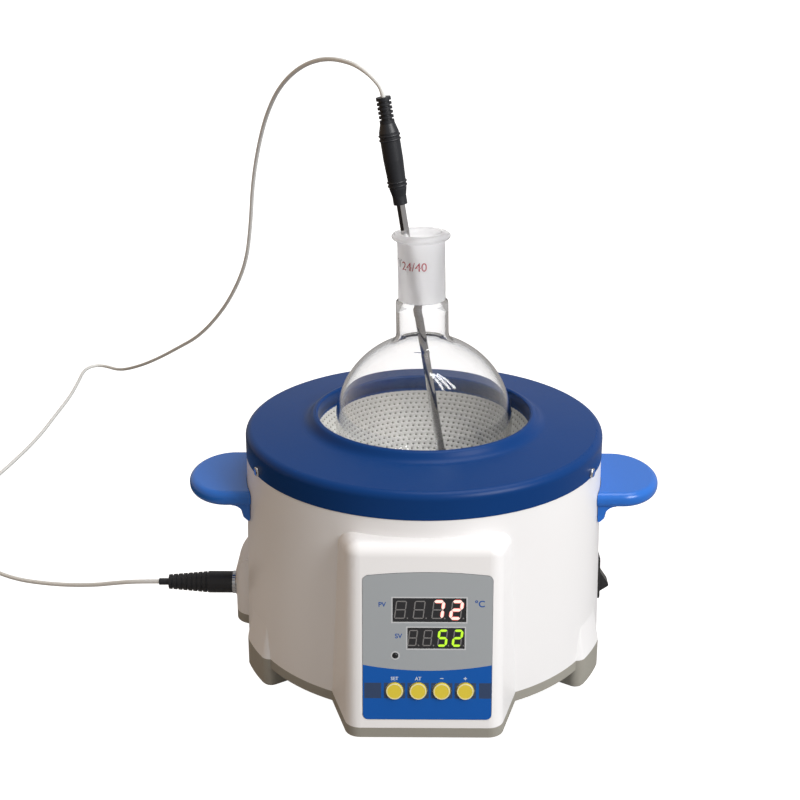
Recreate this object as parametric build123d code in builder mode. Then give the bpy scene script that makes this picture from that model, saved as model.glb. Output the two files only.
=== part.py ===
"""Heating mantle with a digital temperature controller, a temperature probe and a 500 ml flask.

Millimetres. The origin is on the bench, on the axis of the round body. +Z is up, the control
panel faces -Y, the mains switch faces +X and the probe's socket faces -X.
"""
import os
from math import acos, atan2, cos, degrees, hypot, pi, radians, sin, sqrt, tan

from build123d import *

os.makedirs("parts", exist_ok=True)

# ---------------------------------------------------------------- clearances
FIT = 0.3  # gap left between pieces that are assembled
SLIP = 0.08  # radial gap of a pin that turns in its hole

# ---------------------------------------------------------------- flask, 500 ml with a 24/40 joint
FLASK_R = 52.5
FLASK_WALL = 2.0
FLASK_LEAN = 1.13  # degrees, towards -X
NECK_R = 15.7
JOINT_R = 14.1
JOINT_LENGTH = 40.0
JOINT_BORE_R = 12.0  # at the mouth; the ground bore narrows by 1:10 on its diameter
MOUTH_RISE = 122.2  # from the centre of the ball to the mouth
BEAD_R = 17.3
BEAD_H = 4.0
NECK_BLEND = 7.0  # fillet where the neck grows out of the ball

# ---------------------------------------------------------------- woven bowl and what carries it
BOWL_Z = 144.3  # height of the centre of the bowl's ball
BOWL_T = 3.0
BOWL_RIM_R = 66.0
BOWL_FLANGE_R = 82.0
BOWL_FLANGE_T = 2.5
COURSE_COUNT = 8
COURSE_PITCH = 1.9
COURSE_R = 0.55
WIRE_R = 0.9
WIRE_TURNS = 6
WIRE_STEP = 8.0  # degrees from one turn to the next
WOOL_TOP_Z = 126.0
POT_R = 79.0
POT_T = 1.2
POT_FLOOR_Z = 70.0
LEG_W = 16.0
LEG_T = 2.0
LEG_COUNT = 3
LEG_CIRCLE_R = 58.0  # of the rivets
LEG_START = 30.0
LEG_FLANGE = 16.0
RIVET_R = 2.0
RIVET_HEAD_R = 3.8
RIVET_HEAD_H = 1.4

# ---------------------------------------------------------------- housing
BODY_TOP_R = 108.2
BODY_FLARE = 2.7  # growth of the drum's radius from its top to its lower edge
BODY_BASE_R = BODY_TOP_R + BODY_FLARE
WALL = 3.0
FOOT_H = 12.4
TRAY_RIM = 6.1
SKIRT_Z = 132.5
NOSE_FRONT = BODY_TOP_R + 26.8  # from the axis to the panel face at the housing's lower edge
NOSE_LEAN = 10.0  # degrees that the panel face leans back
NOSE_FRONT_W = 84.6  # plan width of the nose where its sides would meet its front
NOSE_FLARE = 16.0  # degrees that each side opens towards the drum
NOSE_DEPTH = 52.0
NOSE_TOP = 122.0
NOSE_CORNER = 9.0
NOSE_ROUND = 8.0
POD_X = BODY_TOP_R + 11.0
POD_Y = 13.0
POD_W = 42.0
POD_FACE_TOP = 40.0
POD_ROOF = 58.0
POD_CORNER = 12.0
POD_DEPTH = 40.0
POD_SHOULDER = (2.7, 12.0)
FOOT_AZIMUTH = 25.0
FOOT_SPAN = 19.0
FOOT_R = BODY_BASE_R + 3.1
FOOT_DEPTH = 24.0
FOOT_CORNER = 6.0
LOBE_H = 23.0
LOBE_DRAFT = 10.0

# ---------------------------------------------------------------- sheet-metal cover
COVER_R = BODY_TOP_R + 0.3
COVER_T = 1.2
COVER_EDGE_Z = 148.0
COVER_LIP_Z = 151.4
COVER_CORNER = 4.5
OPENING_R = 64.5
LIP_ROUND = 4.0
COLLAR_DROP = 7.0
SCREW_AZIMUTH = 26.6
SCREW_RISE = 3.2  # above the cover's lower edge
SCREW_R = 1.5
SCREW_HEAD_R = 2.8
SCREW_HEAD_H = 1.8
SCREW_LENGTH = 8.0

# ---------------------------------------------------------------- handles
HANDLE_W = 68.0
HANDLE_ROOT_X = BODY_TOP_R + 10.8  # where the tab's rounded end begins
HANDLE_END = 25.5  # length of the rounded end
HANDLE_LOW = 106.0
HANDLE_T = 9.0
HANDLE_ROUND = 4.0
PLATE_T = 5.0
PLATE_W = 63.0
PLATE_DEPTH = 30.0
PLATE_LOW = 96.0
PLATE_SWEEP = 6.5  # radius of the hollow curve from the plate into the tab's underside
HANDLE_SCREW_Y = 21.0
HANDLE_SCREW_R = 1.75
HANDLE_SCREW_BITE = 9.0

# ---------------------------------------------------------------- control panel, on the leaning face
PANEL_X = 1.5
LABEL_W = 71.0
LABEL_LOW = 5.1
LABEL_HIGH = 87.4
LABEL_ARCH = 2.1
LABEL_T = 0.9
LABEL_PROUD = 0.2
LABEL_CORNER = 3.0
PV_SIZE = (40.3, 13.6)
PV_AT = (1.0, 68.3)
SV_SIZE = (31.4, 12.0)
SV_AT = (4.7, 52.2)
DISPLAY_BACK = 0.4  # display face below the label's face
BUTTON_R = 4.75
BUTTON_PITCH = 13.0
BUTTON_AT = (1.5, 21.8)
BUTTON_PROUD = 1.3
BUTTON_HOLE = 0.4  # gap round a button in the housing
BUTTON_FLANGE = 1.2
BUTTON_STEM_R = 1.5
BUTTON_TRAVEL = 0.6
BUTTON_NAMES = ("set", "auto_tune", "down", "up")
LED_R = 1.6
LED_AT = (-17.6, 42.2)
BOARD_DEPTH = 10.4  # from the panel face to the board's front
BOARD_T = 1.6
BOARD_W = 66.0
BOARD_LOW = 10.0
BOARD_HIGH = 86.0
BOARD_POST_R = 3.2
BOARD_SCREW_R = 1.2
BOARD_SCREW_L = 6.0
TACT_SIZE = 6.0
TACT_H = 3.1

# ---------------------------------------------------------------- rocker switch
SWITCH_Y = 4.0
SWITCH_Z = 43.2
BEZEL_H = 28.8
BEZEL_W = 15.0
BEZEL_T = 1.7
SWITCH_BODY_H = 26.8
SWITCH_BODY_W = 12.4
SWITCH_DEPTH = 19.0
WELL_H = 24.6
WELL_W = 10.4
WELL_DEPTH = 9.0
ROCKER_PIN_R = 1.0
ROCKER_PIN_L = 1.1
ROCKER_PIVOT = -2.0
ROCKER_CREST = (8.3, -6.0)
ROCKER_DIP = (1.9, 4.0)
ROCKER_HEEL = (2.2, -10.0)
ROCKER_BACK = 3.5
ROCKER_HALF = 10.6
ROCKER_LIFT = 1.2

# ---------------------------------------------------------------- probe socket, plug and lead
SOCKET_Z = 31.5
SOCKET_FLANGE_R = 8.4
SOCKET_FLANGE_T = 1.0
SOCKET_BARREL_R = 7.4
SOCKET_BARREL_L = 13.0
SOCKET_BORE_R = 5.0
SOCKET_BORE_L = 10.0
NUT_AF = 17.4
NUT_T = 2.6
COUPLING_R = 7.3
COUPLING_L = 2.0
COUPLING_FLUTES = 20
COUPLING_FLUTE_R = 0.5
BOOT_L = 41.5
BOOT_R = 7.0
BOOT_TAIL_R = 4.7
BOOT_RIBS = 8
BOOT_RIB_PITCH = 3.2
BOOT_RIB_DEPTH = 0.8
BOOT_GRIP_L = 15.0  # the plain part next to the coupling
BOOT_NECK_R = 2.2
BOOT_NECK_L = 6.5
LEAD_R = 1.4
LEAD_EXIT = 4.5  # straight stretch where the lead leaves the probe

# ---------------------------------------------------------------- probe
PROBE_TILT = 9.2  # degrees from upright, towards -X
STEM_R = 2.5
STEM_GRIP = 12.0  # length of stem inside the handle
STEM_SHOWN = 189.0  # from the handle's collar to the tip
GRIP_L = 62.0
GRIP_R = 5.75
GRIP_COLLAR_R = 4.1
GRIP_TOP_R = 4.3
GRIP_SLOTS = 5
GRIP_SLOT_DEPTH = 1.2

# ---------------------------------------------------------------- mains inlet, at the back
INLET_Z = 44.0
INLET_FLANGE_W = 32.0
INLET_FLANGE_H = 25.0
INLET_FLANGE_T = 2.0
INLET_BODY_W = 27.0
INLET_BODY_H = 20.0
INLET_DEPTH = 18.0
INLET_WELL_W = 24.0
INLET_WELL_H = 16.5
INLET_WELL_DEPTH = 14.0
PIN_SIZE = (2.0, 4.0)
PIN_L = 12.0
PIN_PITCH = 7.0
PIN_SPOTS = ((-PIN_PITCH, -2.0), (0.0, 2.0), (PIN_PITCH, -2.0))
PIN_TAIL = 6.0
BOSS_Y = BODY_BASE_R + 2.1
BOSS_W = 38.0
BOSS_H = 31.0

# ---------------------------------------------------------------- base tray and power parts
FLOOR_T = 3.0
TRAY_WALL = 5.6
TRAY_LIP = 2.5
VENT_COUNT = 16
VENT_L = 20.0
VENT_W = 4.0
VENT_CIRCLE_R = 76.0
POST_R = 5.5
POST_AZIMUTHS = (52, 128, 232, 308)
POST_TOP_Z = 60.0
TRAY_SCREW_R = 1.75
TRAY_SCREW_HEAD_R = 3.3
TRAY_SCREW_HEAD_H = 2.0
TRAY_SCREW_L = 14.0
POWER_BOARD_W = 60.0
POWER_BOARD_D = 44.0
POWER_BOARD_Y = 28.0
STANDOFF_H = 6.0
STANDOFF_R = 3.0
STANDOFF_INSET = 5.0
SINK_W = 34.0
SINK_SHIFT = 12.0
SINK_D = 14.0
SINK_H = 24.0
FIN_COUNT = 6
FIN_T = 1.6
TERMINAL_W = 36.0
TERMINAL_D = 9.0
TERMINAL_H = 10.0
TERMINAL_WAYS = 4

# ---------------------------------------------------------------- sizes that follow
BASE_Z = FOOT_H + TRAY_RIM
DRUM_TOP_Z = SKIRT_Z - FIT
DRUM_NECK_R = COVER_R - COVER_T - FIT
DRUM_RIM_Z = COVER_EDGE_Z - COVER_T - COVER_CORNER
COLLAR_Z = COVER_LIP_Z - COLLAR_DROP
DRUM_TAPER = degrees(atan2(BODY_BASE_R - BODY_TOP_R, DRUM_TOP_Z - BASE_Z))
BOWL_R = FLASK_R + FIT
BOWL_RIM_Z = COLLAR_Z - FIT
BOWL_RIM_FAR = hypot(BOWL_RIM_R, BOWL_RIM_Z - BOWL_Z)
BOWL_START = atan2(BOWL_RIM_Z - BOWL_Z, BOWL_RIM_R) - acos(BOWL_R / BOWL_RIM_FAR)  # where slope meets ball
COVER_SLOPE = (COVER_LIP_Z - COVER_EDGE_Z) / (COVER_R - OPENING_R)
DRUM_NEAR_R = BODY_TOP_R + FIT


def drum_r(z):
    """Outer radius of the tapered drum at height z."""
    return BODY_BASE_R - (z - BASE_Z) * tan(radians(DRUM_TAPER))


def finish(node, name):
    """Label a finished piece and write its file."""
    node.part.label = name
    export_step(node.part, f"parts/{name}.step")


# ================================================================ planes of the fitted pieces
PANEL = Plane(
    origin=(PANEL_X, -NOSE_FRONT, BASE_Z),
    x_dir=(1, 0, 0),
    z_dir=(0, -cos(radians(NOSE_LEAN)), sin(radians(NOSE_LEAN))),
)
SWITCH = Plane(
    origin=(drum_r(SWITCH_Z), SWITCH_Y, SWITCH_Z),
    x_dir=(0, 1, 0),
    z_dir=(cos(radians(DRUM_TAPER)), 0, sin(radians(DRUM_TAPER))),
)
INLET = Plane(origin=(0, BOSS_Y, INLET_Z), x_dir=(-1, 0, 0), z_dir=(0, 1, 0))
SOCKET = Plane(origin=(-POD_X, POD_Y, SOCKET_Z), x_dir=(0, -1, 0), z_dir=(-1, 0, 0))
BUTTON_SPOTS = [(BUTTON_AT[0] + (i - 1.5) * BUTTON_PITCH, BUTTON_AT[1]) for i in range(4)]
BOARD_POSTS = [
    (x * (BOARD_W / 2 - BOARD_POST_R), y)
    for x in (-1, 1)
    for y in (BOARD_LOW + BOARD_POST_R, BOARD_HIGH - BOARD_POST_R)
]
POST_CIRCLE_R = BODY_BASE_R - WALL - POST_R + 1.0
TRAY_POSTS = [
    (POST_CIRCLE_R * cos(radians(azimuth)), POST_CIRCLE_R * sin(radians(azimuth)))
    for azimuth in POST_AZIMUTHS
]
POWER_POSTS = [
    (x * (POWER_BOARD_W / 2 - STANDOFF_INSET), POWER_BOARD_Y + y * (POWER_BOARD_D / 2 - STANDOFF_INSET))
    for x in (-1, 1)
    for y in (-1, 1)
]
HANDLE_SCREW_Z = HANDLE_LOW + HANDLE_T / 2
COVER_SCREW_Z = SKIRT_Z + SCREW_RISE
COVER_SCREW_AZIMUTHS = (SCREW_AZIMUTH, 180 - SCREW_AZIMUTH, 180 + SCREW_AZIMUTH, 360 - SCREW_AZIMUTH)


def radial(azimuth, radius, z):
    """Plane on the body's side at an azimuth, facing outwards."""
    across, along = cos(radians(azimuth)), sin(radians(azimuth))
    centre = (radius * across, radius * along, z)
    return Plane(origin=centre, x_dir=(-along, across, 0), z_dir=(across, along, 0))


# ================================================================ forms of the housing
def nose_plan(z, inset):
    """Plan of the panel nose at height z, drawn in by inset, with its front corners rounded."""
    front = NOSE_FRONT - (z - BASE_Z) * tan(radians(NOSE_LEAN)) - inset
    half = NOSE_FRONT_W / 2 - inset
    rear_half = half + NOSE_DEPTH * tan(radians(NOSE_FLARE))
    with BuildSketch(Plane.XY.offset(z)) as plan:
        with BuildLine():
            Polyline(
                (-half, -front),
                (half, -front),
                (rear_half, NOSE_DEPTH - front),
                (-rear_half, NOSE_DEPTH - front),
                close=True,
            )
        make_face()
        fillet(plan.vertices().group_by(Axis.Y)[0], NOSE_CORNER - inset)
    return plan.sketch


def pod_plan(z, inset):
    """Plan of the socket's pod at height z, drawn in by inset, with its outer corners rounded."""
    with BuildSketch(Plane.XY.offset(z)) as plan:
        with Locations((-POD_X + inset + POD_DEPTH / 2, POD_Y)):
            Rectangle(POD_DEPTH, POD_W - 2 * inset)
        fillet(plan.vertices().group_by(Axis.X)[0], POD_CORNER - inset)
    return plan.sketch


def footprint(z, inset):
    """Plan of the whole housing at its lower edge, placed at height z and drawn in by inset."""
    with BuildSketch(Plane.XY.offset(z)) as plan:
        Circle(BODY_BASE_R - inset)
        add(nose_plan(BASE_Z, inset).moved(Location((0, 0, z - BASE_Z))))
        add(pod_plan(z, inset))
    return plan.sketch


def foot_plans(z):
    """Plans of the four feet at height z, each a rounded sector."""
    low = radians(-FOOT_AZIMUTH - FOOT_SPAN / 2)
    high = radians(-FOOT_AZIMUTH + FOOT_SPAN / 2)
    rear = FOOT_R - FOOT_DEPTH
    spots = ((FOOT_R, low), (FOOT_R, high), (rear, high), (rear, low))
    corners = [(radius * cos(angle), radius * sin(angle)) for radius, angle in spots]
    with BuildSketch(Plane.XY.offset(z)) as plan:
        with BuildLine():
            RadiusArc(corners[0], corners[1], -FOOT_R)
            Polyline(corners[1], corners[2], corners[3], corners[0])
        make_face()
        fillet(plan.vertices(), FOOT_CORNER)
        mirror(about=Plane.YZ)
        mirror(about=Plane.XZ)
    return plan.sketch


def housing_form(inset):
    """The closed outer form of the housing, or with an inset the hollow inside it."""
    reach = 1.0 if inset else 0.0
    with BuildPart() as form:
        with BuildSketch(Plane.XZ):
            with BuildLine():
                Polyline(
                    (0, BASE_Z - reach),
                    (drum_r(BASE_Z - reach) - inset, BASE_Z - reach),
                    (drum_r(DRUM_TOP_Z - inset) - inset, DRUM_TOP_Z - inset),
                    (DRUM_NECK_R - inset, DRUM_TOP_Z - inset),
                    (DRUM_NECK_R - inset, DRUM_RIM_Z + reach),
                    (0, DRUM_RIM_Z + reach),
                    close=True,
                )
            make_face()
        revolve(axis=Axis.Z)
    with BuildPart() as nose:
        add(nose_plan(BASE_Z - reach, inset))
        add(nose_plan(NOSE_TOP - inset, inset))
        loft(ruled=True)
        roof = nose.faces().sort_by(Axis.Z)[-1]
        fillet(roof.edges().sort_by(Axis.Y)[:-1], NOSE_ROUND - inset)
    with BuildPart() as pod:
        with BuildSketch(Plane.XZ.offset(-POD_Y)):
            with BuildLine():
                Polyline(
                    (-POD_X + inset, POD_FACE_TOP - inset),
                    (-POD_X + inset, BASE_Z - reach),
                    (-POD_X + POD_DEPTH, BASE_Z - reach),
                    (-POD_X + POD_DEPTH, POD_ROOF - inset),
                    (-drum_r(POD_ROOF) + inset, POD_ROOF - inset),
                )
                ThreePointArc(
                    (-drum_r(POD_ROOF) + inset, POD_ROOF - inset),
                    (-POD_X + inset + POD_SHOULDER[0], POD_FACE_TOP - inset + POD_SHOULDER[1]),
                    (-POD_X + inset, POD_FACE_TOP - inset),
                )
            make_face()
        extrude(amount=POD_W, both=True)
        extrude(pod_plan(BASE_Z - reach, inset), amount=POD_ROOF, mode=Mode.INTERSECT)
    with BuildPart() as whole:
        add(form.part)
        add(nose.part)
        add(pod.part)
    return whole.part


def label_plan(grow):
    """Outline of the panel's label with its arched upper edge."""
    half = LABEL_W / 2 + grow
    low = LABEL_LOW - grow
    high = LABEL_HIGH + grow
    with BuildSketch() as plan:
        with BuildLine():
            Polyline((half, high), (half, low), (-half, low), (-half, high))
            ThreePointArc((-half, high), (0, high + LABEL_ARCH), (half, high))
        make_face()
        fillet(plan.vertices(), LABEL_CORNER + grow)
    return plan.sketch


def panel_windows(grow, hole):
    """The label's openings: two display windows, four button holes and the lamp's hole."""
    with BuildSketch() as plan:
        with Locations(PV_AT):
            Rectangle(PV_SIZE[0] + 2 * grow, PV_SIZE[1] + 2 * grow)
        with Locations(SV_AT):
            Rectangle(SV_SIZE[0] + 2 * grow, SV_SIZE[1] + 2 * grow)
        with Locations(*BUTTON_SPOTS):
            Circle(BUTTON_R + hole)
        with Locations(LED_AT):
            Circle(LED_R + grow)
    return plan.sketch


OUTER_FORM = housing_form(0.0)
INNER_FORM = housing_form(WALL)
LABEL_RECESS = LABEL_T - LABEL_PROUD

# ================================================================ moulded housing
with BuildPart() as housing_shell:
    add(OUTER_FORM)
    add(foot_plans(BASE_Z))
    extrude(amount=LOBE_H, taper=LOBE_DRAFT)
    # back boss that gives the mains inlet a flat seat
    with BuildSketch(INLET) as boss:
        RectangleRounded(BOSS_W, BOSS_H, 3)
    extrude(amount=-3 * WALL)
    add(INNER_FORM, mode=Mode.SUBTRACT)
    with BuildSketch(INLET.offset(-WALL)):
        Rectangle(BOSS_W - 2 * WALL, BOSS_H - 2 * WALL)
    extrude(amount=-3 * WALL, mode=Mode.SUBTRACT)
    # recess for the label, display windows and button holes
    with BuildSketch(PANEL):
        add(label_plan(FIT))
    extrude(amount=-LABEL_RECESS, mode=Mode.SUBTRACT)
    with BuildSketch(PANEL):
        add(panel_windows(FIT, BUTTON_HOLE))
    extrude(amount=-2 * WALL, mode=Mode.SUBTRACT)
    # bosses that carry the control board
    with BuildSketch(PANEL.offset(-WALL + 0.5)):
        with Locations(*BOARD_POSTS):
            Circle(BOARD_POST_R)
    extrude(amount=-(BOARD_DEPTH - WALL + 0.5))
    with BuildSketch(PANEL.offset(-BOARD_DEPTH)):
        with Locations(*BOARD_POSTS):
            Circle(BOARD_SCREW_R + FIT)
    extrude(amount=BOARD_DEPTH - WALL, mode=Mode.SUBTRACT)
    # bosses for the screws of the base tray
    with BuildSketch(Plane.XY.offset(BASE_Z)):
        with Locations(*TRAY_POSTS):
            Circle(POST_R)
    extrude(amount=POST_TOP_Z - BASE_Z)
    with BuildSketch(Plane.XY.offset(BASE_Z)):
        with Locations(*TRAY_POSTS):
            Circle(TRAY_SCREW_R + FIT)
    extrude(amount=TRAY_SCREW_L, mode=Mode.SUBTRACT)
    # openings for the switch, the inlet and the socket
    with BuildSketch(SWITCH):
        Rectangle(SWITCH_BODY_W + 2 * FIT, SWITCH_BODY_H + 2 * FIT)
    extrude(amount=3 * WALL, both=True, mode=Mode.SUBTRACT)
    with BuildSketch(INLET):
        Rectangle(INLET_BODY_W + 2 * FIT, INLET_BODY_H + 2 * FIT)
    extrude(amount=-3 * WALL, mode=Mode.SUBTRACT)
    with BuildSketch(SOCKET):
        Circle(SOCKET_BARREL_R + FIT)
    extrude(amount=-2 * WALL, mode=Mode.SUBTRACT)
    # holes for the cover's screws and the handles' screws
    for azimuth in COVER_SCREW_AZIMUTHS:
        with BuildSketch(radial(azimuth, DRUM_NECK_R, COVER_SCREW_Z)):
            Circle(SCREW_R + FIT)
        extrude(amount=2 * WALL, both=True, mode=Mode.SUBTRACT)
    for side in (-1, 1):
        with BuildSketch(Plane.YZ.offset(side * BODY_TOP_R)):
            with Locations((-HANDLE_SCREW_Y, HANDLE_SCREW_Z), (HANDLE_SCREW_Y, HANDLE_SCREW_Z)):
                Circle(HANDLE_SCREW_R + FIT)
        extrude(amount=4 * WALL, both=True, mode=Mode.SUBTRACT)
finish(housing_shell, "housing_shell")

# ================================================================ base tray with its feet
LIP_INSET = WALL + FIT + TRAY_LIP * tan(radians(NOSE_LEAN))
FLOOR_Z = FOOT_H + FLOOR_T
COUNTERBORE = TRAY_SCREW_HEAD_H + 0.8
with BuildPart() as base_tray:
    add(footprint(FOOT_H, 0.0))
    extrude(amount=TRAY_RIM)
    add(footprint(BASE_Z, LIP_INSET))
    extrude(amount=TRAY_LIP)
    add(footprint(FLOOR_Z, TRAY_WALL))
    extrude(amount=TRAY_RIM, mode=Mode.SUBTRACT)
    add(foot_plans(0))
    extrude(amount=BASE_Z)
    sole = base_tray.faces().filter_by(Axis.Z).group_by(Axis.Z)[0]
    chamfer(sole.edges(), 1.0)
    with BuildSketch(Plane.XY.offset(FOOT_H)):
        with Locations(*TRAY_POSTS):
            Circle(POST_R)
    extrude(amount=TRAY_RIM)
    with BuildSketch(Plane.XY.offset(BASE_Z)):
        with Locations(*TRAY_POSTS):
            Circle(POST_R + FIT)
    extrude(amount=TRAY_RIM, mode=Mode.SUBTRACT)
    with Locations(*[Location((x, y, FOOT_H), (180, 0, 0)) for x, y in TRAY_POSTS]):
        CounterBoreHole(TRAY_SCREW_R + FIT, TRAY_SCREW_HEAD_R + FIT, COUNTERBORE, depth=3 * TRAY_RIM)
    with BuildSketch(Plane.XY.offset(FOOT_H)):
        with PolarLocations(VENT_CIRCLE_R, VENT_COUNT):
            SlotOverall(VENT_L, VENT_W)
    extrude(amount=FLOOR_T, mode=Mode.SUBTRACT)
    with BuildSketch(Plane.XY.offset(FLOOR_Z)):
        with Locations(*POWER_POSTS):
            Circle(STANDOFF_R)
            Circle(BOARD_SCREW_R + FIT, mode=Mode.SUBTRACT)
    extrude(amount=STANDOFF_H)
    with BuildSketch(Plane.XY.offset(FOOT_H)):
        with PolarLocations(LEG_CIRCLE_R, LEG_COUNT, start_angle=LEG_START):
            Circle(RIVET_R + FIT)
    extrude(amount=FLOOR_T, mode=Mode.SUBTRACT)
finish(base_tray, "base_tray")

with BuildPart() as tray_screws:
    for x, y in TRAY_POSTS:
        seat = FOOT_H + COUNTERBORE
        with BuildSketch(Plane.XY.offset(seat)):
            with Locations((x, y)):
                Circle(TRAY_SCREW_HEAD_R)
        extrude(amount=-TRAY_SCREW_HEAD_H)
        with BuildSketch(Plane.XY.offset(seat)):
            with Locations((x, y)):
                Circle(TRAY_SCREW_R)
        extrude(amount=TRAY_SCREW_L)
finish(tray_screws, "tray_screws")

# ================================================================ pressed sheet-metal cover
with BuildPart() as top_cover:
    with BuildSketch(Plane.XZ):
        with BuildLine():
            skin = FilletPolyline(
                (COVER_R, SKIRT_Z),
                (COVER_R, COVER_EDGE_Z),
                (OPENING_R, COVER_LIP_Z),
                (OPENING_R, COLLAR_Z),
                radius=[COVER_CORNER, LIP_ROUND],
            )
            Line((OPENING_R, COLLAR_Z), (OPENING_R + COVER_T, COLLAR_Z))
            FilletPolyline(
                (OPENING_R + COVER_T, COLLAR_Z),
                (OPENING_R + COVER_T, COVER_LIP_Z - COVER_T - COVER_SLOPE * COVER_T),
                (COVER_R - COVER_T, COVER_EDGE_Z - COVER_T + COVER_SLOPE * COVER_T),
                (COVER_R - COVER_T, SKIRT_Z),
                radius=[LIP_ROUND - COVER_T, COVER_CORNER - COVER_T],
            )
            Line((COVER_R - COVER_T, SKIRT_Z), (COVER_R, SKIRT_Z))
        make_face()
    revolve(axis=Axis.Z)
    for azimuth in COVER_SCREW_AZIMUTHS:
        with BuildSketch(radial(azimuth, COVER_R, COVER_SCREW_Z)):
            Circle(SCREW_R + FIT)
        extrude(amount=2 * COVER_T, both=True, mode=Mode.SUBTRACT)
finish(top_cover, "top_cover")

with BuildPart() as cover_screws:
    for azimuth in COVER_SCREW_AZIMUTHS:
        with BuildSketch(radial(azimuth, COVER_R, COVER_SCREW_Z)):
            Circle(SCREW_HEAD_R)
        extrude(amount=SCREW_HEAD_H)
        with BuildSketch(radial(azimuth, COVER_R + SCREW_HEAD_H / 2, COVER_SCREW_Z)):
            Circle(SCREW_R)
        extrude(amount=-SCREW_LENGTH - SCREW_HEAD_H / 2)
    heads = cover_screws.edges().filter_by(GeomType.CIRCLE)
    fillet(heads.filter_by(lambda e: e.radius > 2 and hypot(e.center().X, e.center().Y) > COVER_R + 1), 0.9)
finish(cover_screws, "cover_screws")


# ================================================================ side handles
# the root plate, which sweeps into the tab's underside
PLATE_R = BODY_TOP_R + PLATE_T
with BuildPart() as handle_plate:
    with BuildSketch(Plane.XZ):
        with BuildLine():
            Polyline(
                (PLATE_R + PLATE_SWEEP, HANDLE_LOW),
                (PLATE_R + PLATE_SWEEP, HANDLE_LOW + HANDLE_T / 2),
                (BODY_TOP_R - PLATE_T, HANDLE_LOW + HANDLE_T / 2),
                (BODY_TOP_R - PLATE_T, PLATE_LOW),
                (PLATE_R - PLATE_T / 2, PLATE_LOW),
                (PLATE_R, PLATE_LOW + PLATE_T / 2),
                (PLATE_R, HANDLE_LOW - PLATE_SWEEP),
            )
            RadiusArc((PLATE_R, HANDLE_LOW - PLATE_SWEEP), (PLATE_R + PLATE_SWEEP, HANDLE_LOW), PLATE_SWEEP)
        make_face()
    revolve(axis=Axis.Z)
    toe = handle_plate.edges().filter_by(GeomType.CIRCLE).group_by(Axis.Z)
    fillet([e for group in toe[:2] for e in group if e.radius > BODY_TOP_R], PLATE_T / 5)
    with BuildSketch(Plane.XY.offset(PLATE_LOW)):
        with Locations((PLATE_R, 0)):
            Rectangle(2 * PLATE_DEPTH, PLATE_W)
    extrude(amount=HANDLE_T + HANDLE_LOW - PLATE_LOW, mode=Mode.INTERSECT)

with BuildPart() as handle_right:
    with BuildSketch(Plane.XY.offset(HANDLE_LOW)):
        with Locations((HANDLE_ROOT_X / 2, 0)):
            Rectangle(HANDLE_ROOT_X, HANDLE_W)
        with Locations((HANDLE_ROOT_X, 0)):
            Ellipse(HANDLE_END, HANDLE_W / 2)
        Circle(DRUM_NEAR_R, mode=Mode.SUBTRACT)
        with Locations((-HANDLE_ROOT_X, 0)):
            Rectangle(2 * HANDLE_ROOT_X, 2 * HANDLE_W, mode=Mode.SUBTRACT)
    extrude(amount=HANDLE_T)
    level = handle_right.edges().filter_by(lambda e: abs(e.tangent_at(0.5).Z) < 0.1)
    fillet(level.filter_by(lambda e: e.center().X > HANDLE_ROOT_X - 1), HANDLE_ROUND)
    add(handle_plate.part)
    # it hugs the tapered drum
    with BuildSketch(Plane.XZ):
        with BuildLine():
            Polyline(
                (0, 0),
                (drum_r(0) + FIT, 0),
                (drum_r(DRUM_TOP_Z) + FIT, DRUM_TOP_Z),
                (0, DRUM_TOP_Z),
                close=True,
            )
        make_face()
    revolve(axis=Axis.Z, mode=Mode.SUBTRACT)
    with BuildSketch(Plane.YZ.offset(BODY_TOP_R - PLATE_DEPTH / 2)):
        with Locations((-HANDLE_SCREW_Y, HANDLE_SCREW_Z), (HANDLE_SCREW_Y, HANDLE_SCREW_Z)):
            Circle(HANDLE_SCREW_R + FIT)
    extrude(amount=HANDLE_SCREW_BITE + FIT + PLATE_DEPTH / 2, mode=Mode.SUBTRACT)
finish(handle_right, "handle_right")

with BuildPart() as handle_left:
    add(mirror(handle_right.part, about=Plane.YZ))
finish(handle_left, "handle_left")

# screws from inside the drum, their heads against its wall
with BuildPart() as handle_screws:
    for side in (-1, 1):
        spots = ((-HANDLE_SCREW_Y, HANDLE_SCREW_Z), (HANDLE_SCREW_Y, HANDLE_SCREW_Z))
        seat = sqrt((drum_r(HANDLE_LOW) - WALL) ** 2 - (HANDLE_SCREW_Y + SCREW_HEAD_R) ** 2) - FIT
        with BuildSketch(Plane.YZ.offset(side * seat)):
            with Locations(*spots):
                Circle(SCREW_HEAD_R)
        extrude(amount=-side * SCREW_HEAD_H)
        with BuildSketch(Plane.YZ.offset(side * seat)):
            with Locations(*spots):
                Circle(HANDLE_SCREW_R)
        extrude(amount=side * (BODY_TOP_R + HANDLE_SCREW_BITE - seat))
finish(handle_screws, "handle_screws")


# ================================================================ woven bowl, heating wire, wool and pot
def bowl_plan(grow, top):
    """Half section of the space inside the bowl's wall, grown by grow and closed at height top."""
    radius = BOWL_R + grow
    touch = (radius * cos(BOWL_START), BOWL_Z + radius * sin(BOWL_START))
    rise = (top - touch[1]) / cos(BOWL_START)
    rim = (touch[0] - rise * sin(BOWL_START), top)
    with BuildSketch(Plane.XZ) as plan:
        with BuildLine():
            CenterArc((0, BOWL_Z), radius, -90, 90 + degrees(BOWL_START))
            Polyline(touch, rim, (0, top), (0, BOWL_Z - radius))
        make_face()
    return plan.sketch


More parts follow.
